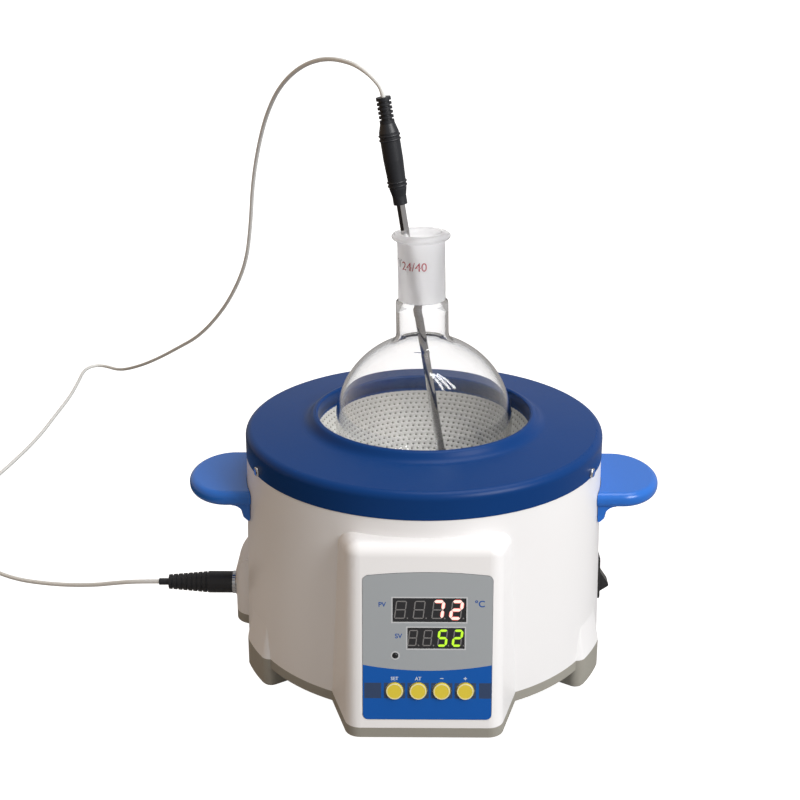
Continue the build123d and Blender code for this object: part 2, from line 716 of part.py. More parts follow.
FLANGE_LOW = BOWL_RIM_Z - BOWL_FLANGE_T
BOWL_SLOPE = Vector(sin(BOWL_START), -cos(BOWL_START))
BOWL_RIM = Vector(BOWL_RIM_R, BOWL_RIM_Z)
with BuildPart() as heating_bowl:
    with BuildSketch(Plane.XZ):
        add(bowl_plan(BOWL_T, FLANGE_LOW))
        with Locations((0, FLANGE_LOW)):
            Rectangle(BOWL_FLANGE_R, BOWL_FLANGE_T, align=(Align.MIN, Align.MIN))
        add(bowl_plan(0.0, BOWL_RIM_Z + 1), mode=Mode.SUBTRACT)
        # courses of the weave on the slope above the ball
        for i in range(COURSE_COUNT):
            with Locations(BOWL_RIM + BOWL_SLOPE * ((i + 0.8) * COURSE_PITCH)):
                Circle(COURSE_R, mode=Mode.SUBTRACT)
    revolve(axis=Axis.Z)
    rims = heating_bowl.edges().filter_by(GeomType.CIRCLE)
    fillet(rims.filter_by(lambda e: abs(e.radius - BOWL_FLANGE_R) < 0.1), 0.8)
finish(heating_bowl, "heating_bowl")

WIRE_PATH_R = BOWL_R + BOWL_T + FIT + WIRE_R
with BuildPart() as heating_wire:
    for i in range(WIRE_TURNS):
        angle = radians(-82 + i * WIRE_STEP)
        turn_z = BOWL_Z + WIRE_PATH_R * sin(angle)
        with BuildSketch(Plane.XZ):
            with Locations((WIRE_PATH_R * cos(angle), turn_z)):
                Circle(WIRE_R)
        revolve(axis=Axis.Z)
finish(heating_wire, "heating_wire")

WOOL_GROW = BOWL_T + 2 * FIT + 2 * WIRE_R
with BuildPart() as wool_lining:
    with BuildSketch(Plane.XZ):
        with Locations((0, POT_FLOOR_Z + POT_T)):
            Rectangle(POT_R - POT_T - FIT, WOOL_TOP_Z - POT_FLOOR_Z - POT_T, align=(Align.MIN, Align.MIN))
        add(bowl_plan(WOOL_GROW, WOOL_TOP_Z + 1), mode=Mode.SUBTRACT)
    revolve(axis=Axis.Z)
    with BuildSketch(Plane.XY.offset(POT_FLOOR_Z + POT_T)):
        with PolarLocations(LEG_CIRCLE_R, LEG_COUNT, start_angle=LEG_START):
            Circle(RIVET_HEAD_R + FIT)
    extrude(amount=RIVET_HEAD_H + FIT, mode=Mode.SUBTRACT)
finish(wool_lining, "wool_lining")

with BuildPart() as inner_pot:
    with BuildSketch(Plane.XZ):
        with BuildLine():
            pot_wall = FilletPolyline(
                (0, POT_FLOOR_Z),
                (POT_R, POT_FLOOR_Z),
                (POT_R, FLANGE_LOW),
                radius=POT_T + 0.3,
            )
            offset(pot_wall, amount=POT_T, side=Side.LEFT)
        make_face()
    revolve(axis=Axis.Z)
    with BuildSketch(Plane.XY.offset(POT_FLOOR_Z)):
        with PolarLocations(LEG_CIRCLE_R, LEG_COUNT, start_angle=LEG_START):
            Circle(RIVET_R + FIT)
    extrude(amount=POT_T, mode=Mode.SUBTRACT)
finish(inner_pot, "inner_pot")

with BuildPart() as pot_legs:
    half = LEG_FLANGE / 2
    for turn in range(LEG_COUNT):
        azimuth = LEG_START + turn * 360 / LEG_COUNT
        side = Plane.XZ.rotated((0, 0, azimuth))
        with BuildSketch(side):
            with BuildLine():
                strip = FilletPolyline(
                    (LEG_CIRCLE_R - half, FLOOR_Z),
                    (LEG_CIRCLE_R + half, FLOOR_Z),
                    (LEG_CIRCLE_R + half, POT_FLOOR_Z),
                    (LEG_CIRCLE_R - half, POT_FLOOR_Z),
                    radius=2 * LEG_T,
                )
                offset(strip, amount=LEG_T, side=Side.LEFT)
            make_face()
        extrude(amount=LEG_W / 2, both=True)
    for z, rise in ((FLOOR_Z, LEG_T), (POT_FLOOR_Z, -LEG_T)):
        with BuildSketch(Plane.XY.offset(z)):
            with PolarLocations(LEG_CIRCLE_R, LEG_COUNT, start_angle=LEG_START):
                Circle(RIVET_R + FIT)
        extrude(amount=rise, mode=Mode.SUBTRACT)
finish(pot_legs, "pot_legs")

# each rivet clamps a leg to the tray or to the pot, between its two heads
with BuildPart() as leg_rivets:
    for low, high in ((FOOT_H, FLOOR_Z + LEG_T), (POT_FLOOR_Z - LEG_T, POT_FLOOR_Z + POT_T)):
        for z, radius, rise in (
            (low, RIVET_R, high - low),
            (low, RIVET_HEAD_R, -RIVET_HEAD_H),
            (high, RIVET_HEAD_R, RIVET_HEAD_H),
        ):
            with BuildSketch(Plane.XY.offset(z)):
                with PolarLocations(LEG_CIRCLE_R, LEG_COUNT, start_angle=LEG_START):
                    Circle(radius)
            extrude(amount=rise)
finish(leg_rivets, "leg_rivets")

# ================================================================ control panel
with BuildPart() as panel_label:
    with BuildSketch(PANEL.offset(-LABEL_RECESS)):
        add(label_plan(0.0))
        add(panel_windows(FIT, FIT), mode=Mode.SUBTRACT)
    extrude(amount=LABEL_T)
finish(panel_label, "panel_label")

DISPLAY_FACE = LABEL_PROUD - DISPLAY_BACK
for name, size, spot in (("display_pv", PV_SIZE, PV_AT), ("display_sv", SV_SIZE, SV_AT)):
    with BuildPart() as display:
        with BuildSketch(PANEL.offset(-BOARD_DEPTH)):
            with Locations(spot):
                Rectangle(*size)
        extrude(amount=BOARD_DEPTH + DISPLAY_FACE)
        chamfer(display.faces().sort_by(Axis.Y)[0].edges(), 0.3)
    finish(display, name)

with BuildPart() as indicator_lamp:
    with BuildSketch(PANEL.offset(-BOARD_DEPTH)):
        with Locations(LED_AT):
            Circle(LED_R)
    extrude(amount=BOARD_DEPTH + LABEL_PROUD + LED_R / 2)
    fillet(indicator_lamp.faces().sort_by(Axis.Y)[0].edges(), LED_R * 0.7)
finish(indicator_lamp, "indicator_lamp")

with BuildPart() as control_board:
    with BuildSketch(PANEL.offset(-BOARD_DEPTH)):
        with Locations((0, (BOARD_LOW + BOARD_HIGH) / 2)):
            RectangleRounded(BOARD_W, BOARD_HIGH - BOARD_LOW, 2)
        with Locations(*BOARD_POSTS):
            Circle(BOARD_SCREW_R + FIT, mode=Mode.SUBTRACT)
    extrude(amount=-BOARD_T)
finish(control_board, "control_board")

with BuildPart() as tact_switches:
    with BuildSketch(PANEL.offset(-BOARD_DEPTH)):
        with Locations(*BUTTON_SPOTS):
            Rectangle(TACT_SIZE, TACT_SIZE)
    extrude(amount=TACT_H)
finish(tact_switches, "tact_switches")

STEM_END = BOARD_DEPTH - TACT_H - BUTTON_TRAVEL - FIT
for name, spot in zip(BUTTON_NAMES, BUTTON_SPOTS):
    with BuildPart() as button:
        with BuildSketch(PANEL.offset(LABEL_PROUD + BUTTON_PROUD)):
            with Locations(spot):
                Circle(BUTTON_R)
        extrude(amount=-(WALL + LABEL_PROUD + BUTTON_PROUD + FIT + 0.2))
        crown = button.faces().sort_by(Axis.Y)[0]
        fillet(crown.edges(), 0.9)
        with BuildSketch(PANEL.offset(-WALL - FIT)):
            with Locations(spot):
                Circle(BUTTON_R + BUTTON_HOLE + 0.7)
        extrude(amount=-BUTTON_FLANGE)
        with BuildSketch(PANEL.offset(-WALL - FIT)):
            with Locations(spot):
                Circle(BUTTON_STEM_R)
        extrude(amount=-(STEM_END - WALL - FIT))
    finish(button, f"button_{name}")

with BuildPart() as board_screws:
    for plane, spots in (
        (PANEL.offset(-BOARD_DEPTH - BOARD_T), [Location((x, y, 0), (180, 0, 0)) for x, y in BOARD_POSTS]),
        (Plane.XY.offset(FLOOR_Z + STANDOFF_H + BOARD_T), [Location((x, y, 0)) for x, y in POWER_POSTS]),
    ):
        for spot in spots:
            seat = Plane(plane * spot)
            with BuildSketch(seat):
                Circle(2 * BOARD_SCREW_R)
            extrude(amount=BOARD_SCREW_R)
            with BuildSketch(seat):
                Circle(BOARD_SCREW_R)
            extrude(amount=-BOARD_SCREW_L)
finish(board_screws, "board_screws")

# ================================================================ rocker switch
with BuildPart() as switch_frame:
    with BuildSketch(SWITCH.offset(FIT)):
        RectangleRounded(BEZEL_W, BEZEL_H, 2)
    extrude(amount=BEZEL_T)
    fillet(switch_frame.faces().sort_by(Axis.X)[-1].edges(), 0.7)
    with BuildSketch(SWITCH.offset(FIT)):
        Rectangle(SWITCH_BODY_W, SWITCH_BODY_H)
    extrude(amount=-SWITCH_DEPTH)
    with BuildSketch(SWITCH.offset(FIT + BEZEL_T)):
        Rectangle(WELL_W, WELL_H)
    extrude(amount=-WELL_DEPTH - BEZEL_T, mode=Mode.SUBTRACT)
    with BuildSketch(Plane(SWITCH.origin, x_dir=SWITCH.z_dir, z_dir=SWITCH.x_dir).offset(-SWITCH_BODY_W / 2)):
        with Locations((ROCKER_PIVOT, 0)):
            Circle(ROCKER_PIN_R + SLIP)
    extrude(amount=SWITCH_BODY_W, mode=Mode.SUBTRACT)
    # two blades for the supply wires
    with BuildSketch(SWITCH.offset(FIT - SWITCH_DEPTH)):
        with Locations((0, -SWITCH_BODY_H / 4), (0, SWITCH_BODY_H / 4)):
            Rectangle(6.3, 0.8)
    extrude(amount=-8)
finish(switch_frame, "switch_frame")

SWITCH_SIDE = Plane(SWITCH.origin, x_dir=SWITCH.z_dir, z_dir=-SWITCH.x_dir)
ROCKER_R = WELL_H / 2 - SLIP - 0.1
with BuildPart() as switch_rocker:
    with BuildSketch(SWITCH_SIDE):
        with BuildLine():
            Polyline(
                (-ROCKER_BACK, -ROCKER_HALF),
                ROCKER_HEEL,
                ROCKER_CREST,
                ROCKER_DIP,
                (ROCKER_LIFT, ROCKER_R + 1),
                (-ROCKER_BACK, ROCKER_HALF),
                close=True,
            )
        make_face()
        with Locations((ROCKER_PIVOT, 0)):
            Circle(ROCKER_R, mode=Mode.INTERSECT)
    extrude(amount=WELL_W / 2 - FIT, both=True)
    ridge = switch_rocker.edges().filter_by(Axis.Y).group_by(Axis.X)[-1]
    fillet(ridge, 1.5)
    with BuildSketch(SWITCH_SIDE):
        with Locations((ROCKER_PIVOT, 0)):
            Circle(ROCKER_PIN_R)
    extrude(amount=WELL_W / 2 - FIT + ROCKER_PIN_L, both=True)
finish(switch_rocker, "switch_rocker")

# ================================================================ probe socket and plug, along -X
with BuildPart() as sensor_socket:
    with BuildSketch(SOCKET):
        Circle(SOCKET_FLANGE_R)
    extrude(amount=SOCKET_FLANGE_T)
    fillet(sensor_socket.faces().sort_by(Axis.X)[0].edges(), 0.6)
    with BuildSketch(SOCKET):
        Circle(SOCKET_BARREL_R)
    extrude(amount=-SOCKET_BARREL_L)
    with BuildSketch(SOCKET.offset(SOCKET_FLANGE_T)):
        Circle(SOCKET_BORE_R)
    extrude(amount=-SOCKET_BORE_L, mode=Mode.SUBTRACT)
finish(sensor_socket, "sensor_socket")

with BuildPart() as socket_nut:
    with BuildSketch(SOCKET.offset(-WALL)):
        RegularPolygon(NUT_AF / 2, 6, major_radius=False)
        Circle(SOCKET_BARREL_R + SLIP, mode=Mode.SUBTRACT)
    extrude(amount=-NUT_T)
finish(socket_nut, "socket_nut")

COUPLING_START = SOCKET_FLANGE_T + FIT
BOOT_START = COUPLING_START + COUPLING_L
with BuildPart() as sensor_plug:
    with BuildSketch(SOCKET.offset(COUPLING_START)):
        Circle(COUPLING_R)
        with PolarLocations(COUPLING_R, COUPLING_FLUTES):
            Circle(COUPLING_FLUTE_R, mode=Mode.SUBTRACT)
    extrude(amount=COUPLING_L)
    with BuildSketch(SOCKET.offset(COUPLING_START)):
        Circle(SOCKET_BORE_R - FIT)
    extrude(amount=-SOCKET_BORE_L + FIT)
finish(sensor_plug, "sensor_plug")

with BuildPart() as plug_boot:
    with BuildSketch(Plane(SOCKET.offset(BOOT_START).origin, x_dir=(-1, 0, 0), z_dir=(0, -1, 0))):
        with BuildLine():
            Polyline(
                (0, 0),
                (0, BOOT_R),
                (BOOT_GRIP_L, BOOT_R),
                (BOOT_L, BOOT_TAIL_R),
                (BOOT_L, BOOT_NECK_R),
                (BOOT_L + BOOT_NECK_L, BOOT_NECK_R),
                (BOOT_L + BOOT_NECK_L, 0),
                close=True,
            )
        make_face()
        for i in range(BOOT_RIBS):
            along = BOOT_GRIP_L + (i + 0.5) * BOOT_RIB_PITCH
            local_r = BOOT_R - (BOOT_R - BOOT_TAIL_R) * (along - BOOT_GRIP_L) / (BOOT_L - BOOT_GRIP_L)
            with Locations((along, local_r)):
                Rectangle(BOOT_RIB_PITCH / 3, 2 * BOOT_RIB_DEPTH, mode=Mode.SUBTRACT)
    revolve(axis=Axis(SOCKET.origin, (-1, 0, 0)))
finish(plug_boot, "plug_boot")

# ================================================================ flask, leaning a little in the bowl
LEAN = radians(FLASK_LEAN)
FLASK = Plane(origin=(0, 0, BOWL_Z), x_dir=(cos(LEAN), 0, sin(LEAN)), z_dir=(0, -1, 0))
FLASK_AXIS = Axis((0, 0, BOWL_Z), (-sin(LEAN), 0, cos(LEAN)))
BALL_BORE_R = FLASK_R - FLASK_WALL
NECK_BORE_R = NECK_R - FLASK_WALL
JOINT_LOW = MOUTH_RISE - JOINT_LENGTH
JOINT_NARROW_R = JOINT_BORE_R - JOINT_LENGTH / 20
with BuildPart() as glass:
    with BuildSketch(FLASK):
        with BuildLine():
            CenterArc((0, 0), FLASK_R, -90, 180)
            Line((0, FLASK_R), (0, -FLASK_R))
        make_face()
        with BuildLine():
            Polyline(
                (0, 0),
                (NECK_R, 0),
                (NECK_R, JOINT_LOW - NECK_R + JOINT_R),
                (JOINT_R, JOINT_LOW),
                (JOINT_R, MOUTH_RISE),
                (0, MOUTH_RISE),
                close=True,
            )
        make_face()
    revolve(axis=FLASK_AXIS)
    crease = glass.edges().filter_by(GeomType.CIRCLE).filter_by(lambda e: abs(e.radius - NECK_R) < 0.01)
    fillet(crease.sort_by(Axis.Z)[0], NECK_BLEND)
    with BuildSketch(FLASK):
        with Locations((JOINT_R, MOUTH_RISE - BEAD_H / 2)):
            Ellipse(BEAD_R - JOINT_R, BEAD_H / 2)
    revolve(axis=FLASK_AXIS)
    with BuildSketch(FLASK):
        with BuildLine():
            CenterArc((0, 0), BALL_BORE_R, -90, 180)
            Line((0, BALL_BORE_R), (0, -BALL_BORE_R))
        make_face()
        with BuildLine():
            Polyline(
                (0, 0),
                (NECK_BORE_R, 0),
                (NECK_BORE_R, JOINT_LOW - 2 * (NECK_BORE_R - JOINT_NARROW_R)),
                (JOINT_NARROW_R, JOINT_LOW),
                (JOINT_BORE_R, MOUTH_RISE),
                (JOINT_BORE_R, MOUTH_RISE + 1),
                (0, MOUTH_RISE + 1),
                close=True,
            )
        make_face()
    revolve(axis=FLASK_AXIS, mode=Mode.SUBTRACT)

# the ground joint is fused to the neck at this plane
SEAM = Plane(origin=FLASK.from_local_coords((0, JOINT_LOW, 0)), z_dir=FLASK_AXIS.direction)
with BuildPart() as flask:
    add(glass.part)
    split(bisect_by=SEAM, keep=Keep.BOTTOM)
finish(flask, "flask")

with BuildPart() as flask_joint:
    add(glass.part)
    split(bisect_by=SEAM, keep=Keep.TOP)
finish(flask_joint, "flask_joint")

# ================================================================ probe, leaning on the flask's mouth
TILT = radians(PROBE_TILT)
PROBE_UP = Vector(-sin(TILT), 0, cos(TILT))
PROBE_OUT = Vector(cos(TILT), 0, sin(TILT))
CENTRE = Vector(0, 0, BOWL_Z)
MOUTH_RIM = FLASK.from_local_coords((-JOINT_BORE_R, MOUTH_RISE, 0))
LEANS_AT = Vector(MOUTH_RIM) + PROBE_OUT * (STEM_R + FIT)
REST_R = BALL_BORE_R - STEM_R - FIT
ALONG = (LEANS_AT - CENTRE).dot(PROBE_UP)
DROP = ALONG + sqrt(REST_R**2 - (LEANS_AT - CENTRE).length ** 2 + ALONG**2)
TIP = LEANS_AT - PROBE_UP * DROP
PROBE = Plane(origin=TIP, x_dir=PROBE_OUT, z_dir=(0, -1, 0))
PROBE_AXIS = Axis(TIP, PROBE_UP)
GRIP_START = STEM_SHOWN - STEM_R
with BuildPart() as probe_stem:
    with BuildSketch(PROBE):
        with BuildLine():
            CenterArc((0, 0), STEM_R, -90, 90)
            Polyline((STEM_R, 0), (STEM_R, GRIP_START + STEM_GRIP), (0, GRIP_START + STEM_GRIP), (0, -STEM_R))
        make_face()
    revolve(axis=PROBE_AXIS)
finish(probe_stem, "probe_stem")

GRIP_SHAPE = (
    (0.0, GRIP_COLLAR_R),
    (0.08, GRIP_COLLAR_R),
    (0.15, GRIP_R - 0.7),
    (0.42, GRIP_R),
    (0.68, GRIP_R),
)
GRIP_RIDGES = ((0.18, GRIP_R - 0.6), (0.215, GRIP_R - 0.5), (0.61, GRIP_R), (0.65, GRIP_R))
with BuildPart() as probe_handle:
    with BuildSketch(PROBE):
        with BuildLine():
            Polyline(
                (0, GRIP_START),
                *[(r, GRIP_START + share * GRIP_L) for share, r in GRIP_SHAPE],
                (GRIP_TOP_R, GRIP_START + 0.76 * GRIP_L),
                (GRIP_TOP_R, GRIP_START + GRIP_L),
                (0, GRIP_START + GRIP_L),
                close=True,
            )
        make_face()
        for i in range(GRIP_SLOTS):
            with Locations((GRIP_TOP_R, GRIP_START + (0.8 + 0.04 * i) * GRIP_L)):
                Rectangle(2 * GRIP_SLOT_DEPTH, 0.02 * GRIP_L, mode=Mode.SUBTRACT)
        for share, r in GRIP_RIDGES:
            with Locations((r, GRIP_START + share * GRIP_L)):
                Circle(0.6)
    revolve(axis=PROBE_AXIS)
    with BuildSketch(PROBE):
        with Locations((0, GRIP_START)):
            Rectangle(STEM_R + SLIP, STEM_GRIP + SLIP, align=(Align.MIN, Align.MIN))
    revolve(axis=PROBE_AXIS, mode=Mode.SUBTRACT)
finish(probe_handle, "probe_handle")

# ================================================================ probe lead, from the handle to the plug
LEAD_START = TIP + PROBE_UP * (GRIP_START + GRIP_L)
LEAD_END = SOCKET.offset(BOOT_START + BOOT_L + BOOT_NECK_L).origin
LEAD_ROUTE = [
    tuple(LEAD_START),
    tuple(LEAD_START + PROBE_UP * LEAD_EXIT),
    (-28.3, 1.2, 353.2),
    (-34.2, 4.9, 358.2),
    (-43.2, 14, 362.1),
    (-58.9, 38, 361.5),
    (-75.7, 70, 352.6),
    (-91.3, 101, 336.4),
    (-103, 130, 314.5),
    (-111.6, 152, 288.8),
    (-118.4, 170, 259),
    (-122.5, 186, 226.8),
    (-128.8, 204, 193.3),
    (-144.6, 234, 158.6),
    (-163.5, 268, 129),
    (-183.5, 304, 103.5),
    (-204.5, 341, 83),
    (-227, 381, 61),
    (-249, 424, 40),
    (-268, 462, 23),
    (-285, 494, 9.5),
    (-297, 513, 3.2),
    (-306, 524.5, 1.6),
    (-316.5, 530, 1.5),
    (-325.5, 524.5, 1.5),
    (-328.5, 510, 1.5),
    (-327, 484, 1.5),
    (-325.5, 440, 1.5),
    (-328, 392, 1.5),
    (-330, 341, 1.5),
    (-337.5, 284, 1.5),
    (-348, 230, 1.5),
    (-352, 180, 1.5),
    (-342, 136, 1.5),
    (-319, 101, 1.5),
    (-286, 72, 2.6),
    (-250, 50, 9.5),
    (-219, 32, 18.5),
    (-200, 21.5, 26),
    tuple(LEAD_END + Vector(-3 * LEAD_EXIT, 0, 0)),
    tuple(LEAD_END),
]


def bend_radii(route):
    """Radius of each bend, as large as the shorter of its two runs allows."""
    points = [Vector(*p) for p in route]
    radii = []
    for before, here, after in zip(points, points[1:], points[2:]):
        turn = radians((here - before).get_angle(after - here))
        run = min((here - before).length, (after - here).length)
        radii.append(0.45 * run / tan(turn / 2))
    return radii


LEAD_BENDS = bend_radii(LEAD_ROUTE)
with BuildPart() as sensor_lead:
    with BuildLine() as lead_path:
        FilletPolyline(*LEAD_ROUTE, radius=LEAD_BENDS)
    with BuildSketch(Plane(origin=LEAD_START, z_dir=lead_path.line % 0)):
        Circle(LEAD_R)
    sweep()
finish(sensor_lead, "sensor_lead")
print("lead bends", [round(r, 1) for r in LEAD_BENDS])
lead_length = lead_path.wire().length
print("lead length", round(lead_length, 1), "fill", round(sensor_lead.part.volume / (pi * LEAD_R**2), 1))

# ================================================================ mains inlet, flush in the back boss
with BuildPart() as mains_inlet:
    with BuildSketch(INLET):
        RectangleRounded(INLET_FLANGE_W, INLET_FLANGE_H, 2)
    extrude(amount=INLET_FLANGE_T)
    with BuildSketch(INLET):
        Rectangle(INLET_BODY_W, INLET_BODY_H)
    extrude(amount=-INLET_DEPTH)
    with BuildSketch(INLET.offset(INLET_FLANGE_T)) as well:
        Rectangle(INLET_WELL_W, INLET_WELL_H)
        chamfer(well.vertices().group_by(Axis.Y)[-1], 4.5)
    extrude(amount=-INLET_WELL_DEPTH - INLET_FLANGE_T, mode=Mode.SUBTRACT)
    with BuildSketch(INLET.offset(-INLET_DEPTH)):
        with Locations(*PIN_SPOTS):
            Rectangle(PIN_SIZE[0] + 2 * SLIP, PIN_SIZE[1] + 2 * SLIP)
    extrude(amount=INLET_DEPTH - INLET_WELL_DEPTH, mode=Mode.SUBTRACT)
finish(mains_inlet, "mains_inlet")

with BuildPart() as inlet_pins:
    with BuildSketch(INLET.offset(-INLET_DEPTH - PIN_TAIL)):
        with Locations(*PIN_SPOTS):
            Rectangle(*PIN_SIZE)
    extrude(amount=INLET_DEPTH + PIN_TAIL - INLET_WELL_DEPTH + PIN_L)
finish(inlet_pins, "inlet_pins")

# ================================================================ power board on the tray
BOARD_Z = FLOOR_Z + STANDOFF_H
with BuildPart() as power_board:
    with BuildSketch(Plane.XY.offset(BOARD_Z)):
        with Locations((0, POWER_BOARD_Y)):
            RectangleRounded(POWER_BOARD_W, POWER_BOARD_D, 2)
        with Locations(*POWER_POSTS):
            Circle(BOARD_SCREW_R + FIT, mode=Mode.SUBTRACT)
    extrude(amount=BOARD_T)
finish(power_board, "power_board")

with BuildPart() as heat_sink:
    with BuildSketch(Plane.XY.offset(BOARD_Z + BOARD_T)):
        with Locations((0, POWER_BOARD_Y + SINK_SHIFT)):
            Rectangle(SINK_W, FIN_T)
            for i in range(FIN_COUNT):
                with Locations(((i - (FIN_COUNT - 1) / 2) * (SINK_W - FIN_T) / (FIN_COUNT - 1), 0)):
                    Rectangle(FIN_T, SINK_D)
    extrude(amount=SINK_H)
finish(heat_sink, "heat_sink")

with BuildPart() as terminal_block:
    with BuildSketch(Plane.XY.offset(BOARD_Z + BOARD_T)):
        with Locations((0, POWER_BOARD_Y - SINK_SHIFT)):
            Rectangle(TERMINAL_W, TERMINAL_D)
    extrude(amount=TERMINAL_H)
    with BuildSketch(Plane.XY.offset(BOARD_Z + BOARD_T + TERMINAL_H)):
        with Locations((0, POWER_BOARD_Y - SINK_SHIFT)):
            with GridLocations(TERMINAL_W / TERMINAL_WAYS, 1, TERMINAL_WAYS, 1):
                Circle(TERMINAL_D / 4)
    extrude(amount=-TERMINAL_H / 2, mode=Mode.SUBTRACT)
finish(terminal_block, "terminal_block")
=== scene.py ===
# %% [markdown]
# A laboratory heating mantle: a round white housing with a leaning control panel, a blue
# sheet-metal cover, a woven glass-fibre bowl and a 500 ml flask with a temperature probe.
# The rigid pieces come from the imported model. This script lights them, gives each one its
# finish, and adds what is too fine for the solids: the weave, the cover's rolled lip, the
# print on the panel, the display digits and the size mark on the glass.

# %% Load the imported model
from math import radians

import bpy
import numpy as np
from mathutils import Matrix, Vector


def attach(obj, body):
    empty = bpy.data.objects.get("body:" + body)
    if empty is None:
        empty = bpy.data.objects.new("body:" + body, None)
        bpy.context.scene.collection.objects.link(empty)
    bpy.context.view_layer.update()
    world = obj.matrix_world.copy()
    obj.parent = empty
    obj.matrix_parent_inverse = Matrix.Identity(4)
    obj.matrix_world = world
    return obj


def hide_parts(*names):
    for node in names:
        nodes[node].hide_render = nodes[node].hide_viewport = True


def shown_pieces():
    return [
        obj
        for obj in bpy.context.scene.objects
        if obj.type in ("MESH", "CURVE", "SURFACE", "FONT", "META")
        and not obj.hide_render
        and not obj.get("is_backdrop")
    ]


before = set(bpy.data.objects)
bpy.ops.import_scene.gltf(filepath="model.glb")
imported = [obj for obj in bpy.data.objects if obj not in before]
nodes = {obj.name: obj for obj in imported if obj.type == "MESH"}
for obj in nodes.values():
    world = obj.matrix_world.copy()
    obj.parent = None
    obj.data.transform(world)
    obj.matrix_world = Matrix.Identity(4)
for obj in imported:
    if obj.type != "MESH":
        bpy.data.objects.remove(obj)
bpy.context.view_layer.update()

mm = 0.001

# %% [markdown]
# A camera is a place and three directions. Written as a matrix, its columns are the
# directions to its right, up and backwards. A lens of 65 mm on the usual 36 mm sensor gives
# the mild perspective of a product shot taken from a little above the bench. Like every
# other object here, the camera is made in two steps, which one small helper does: the data
# gets an object, and the object is linked into the scene.

# %% Camera
LENS, SENSOR, SIGHT_END = 64.98, 36.0, 20.0
CAMERA_PLACE = (-0.0086, -0.8225, 0.4674)
CAMERA_RIGHT, CAMERA_FORWARD = (0.99997, 0.00756, 0.00085), (-0.00680, 0.93756, -0.34776)


def put(name, data):
    """A new object that carries the data, linked into the scene."""
    thing = bpy.data.objects.new(name, data)
    bpy.context.scene.collection.objects.link(thing)
    return thing


camera_data = bpy.data.cameras.new("bench_camera")
camera_data.lens = LENS
camera_data.sensor_width = SENSOR
camera_data.clip_end = SIGHT_END
camera = put("bench_camera", camera_data)
right = Vector(CAMERA_RIGHT).normalized()
forward = Vector(CAMERA_FORWARD).normalized()
up = right.cross(forward).normalized()
right = forward.cross(up)
turn = Matrix((right, up, -forward)).transposed().to_4x4()
camera.matrix_world = Matrix.Translation(CAMERA_PLACE) @ turn
bpy.context.scene.camera = camera
bpy.context.scene.view_settings.view_transform = "Standard"
print("camera at", tuple(round(c, 4) for c in camera.matrix_world.translation))

# %% [markdown]
# The probe's lead is a free cord of fixed length. Its route is a NURBS curve through the air
# and along the bench: a control point every few centimetres, closer where it bends more. A
# curve of order 3 rounds the corners by itself, so no point lies on the bends.

# %% Probe lead
LEAD_RADIUS = 1.4 * mm
lead_points = [
    (-24.24, 0, 344.49), (-24.96, 0, 348.93),
    (-28.3, 1.2, 353.2), (-34.2, 4.9, 358.2), (-43.2, 14, 362.1), (-58.9, 38, 361.5),
    (-75.7, 70, 352.6), (-91.3, 101, 336.4), (-103, 130, 314.5), (-111.6, 152, 288.8),
    (-118.4, 170, 259), (-122.5, 186, 226.8), (-128.8, 204, 193.3), (-144.6, 234, 158.6),
    (-163.5, 268, 129), (-183.5, 304, 103.5), (-204.5, 341, 83), (-227, 381, 61),
    (-249, 424, 40), (-268, 462, 23), (-285, 494, 9.5), (-297, 513, 3.2),
    (-306, 524.5, 1.6), (-316.5, 530, 1.5), (-325.5, 524.5, 1.5), (-328.5, 510, 1.5),
    (-327, 484, 1.5), (-325.5, 440, 1.5), (-328, 392, 1.5), (-330, 341, 1.5),
    (-337.5, 284, 1.5), (-348, 230, 1.5), (-352, 180, 1.5), (-342, 136, 1.5),
    (-319, 101, 1.5), (-286, 72, 2.6), (-250, 50, 9.5), (-219, 32, 18.5),
    (-200, 21.5, 26), (-184, 13, 31.5), (-170.5, 13, 31.5),
]


def cord_curve(name, points, radius):
    """One NURBS spline of order 3 through control points in millimetres, with a round section."""
    data = bpy.data.curves.new(name, "CURVE")
    data.dimensions = "3D"
    spline = data.splines.new("NURBS")
    spline.points.add(len(points) - 1)
    flat = np.ones((len(points), 4))
    flat[:, :3] = np.array(points) * mm
    spline.points.foreach_set("co", flat.ravel())
    spline.order_u = 3
    spline.use_endpoint_u = True
    spline.resolution_u = 8
    data.bevel_depth = radius
    data.bevel_resolution = 5
    data.use_fill_caps = True
    return put(name, data)


lead = cord_curve("probe_lead", lead_points, LEAD_RADIUS)
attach(lead, "mantle")
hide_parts("sensor_lead")
print("lead control points:", len(lead_points))

# %% [markdown]
# The surroundings are white where the camera looks at them, directly or through glass, and
# dimmer as a light, so the object keeps its shading. The kind of a ray tells the two apart,
# with a little arithmetic between nodes: one helper adds a math node to any node tree, and
# the next uses it to say whether a ray is one that looks.

# %% World
WORLD_TINT, WORLD_LIGHT = (1.0, 0.975, 0.955), 0.48
WHITE = (1.0, 1.0, 1.0)


def reckon(tree, operation, *values):
    """A math node's result; each value is a number or another node's output."""
    node = tree.nodes.new("ShaderNodeMath")
    node.operation = operation
    for place, value in enumerate(values):
        if isinstance(value, bpy.types.NodeSocket):
            tree.links.new(value, node.inputs[place])
        else:
            node.inputs[place].default_value = value
    return node.outputs[0]


def looking(tree):
    """max(camera ray, transmission ray) x (glossy depth < 1/2): 1 for a ray that looks, past
    nothing but glass, and 0 for one that lights or has been mirrored."""
    ray = tree.nodes.new("ShaderNodeLightPath").outputs
    looks = reckon(tree, "MAXIMUM", ray["Is Camera Ray"], ray["Is Transmission Ray"])
    unturned = reckon(tree, "LESS_THAN", ray["Glossy Depth"], 0.5)
    return reckon(tree, "MULTIPLY", looks, unturned)


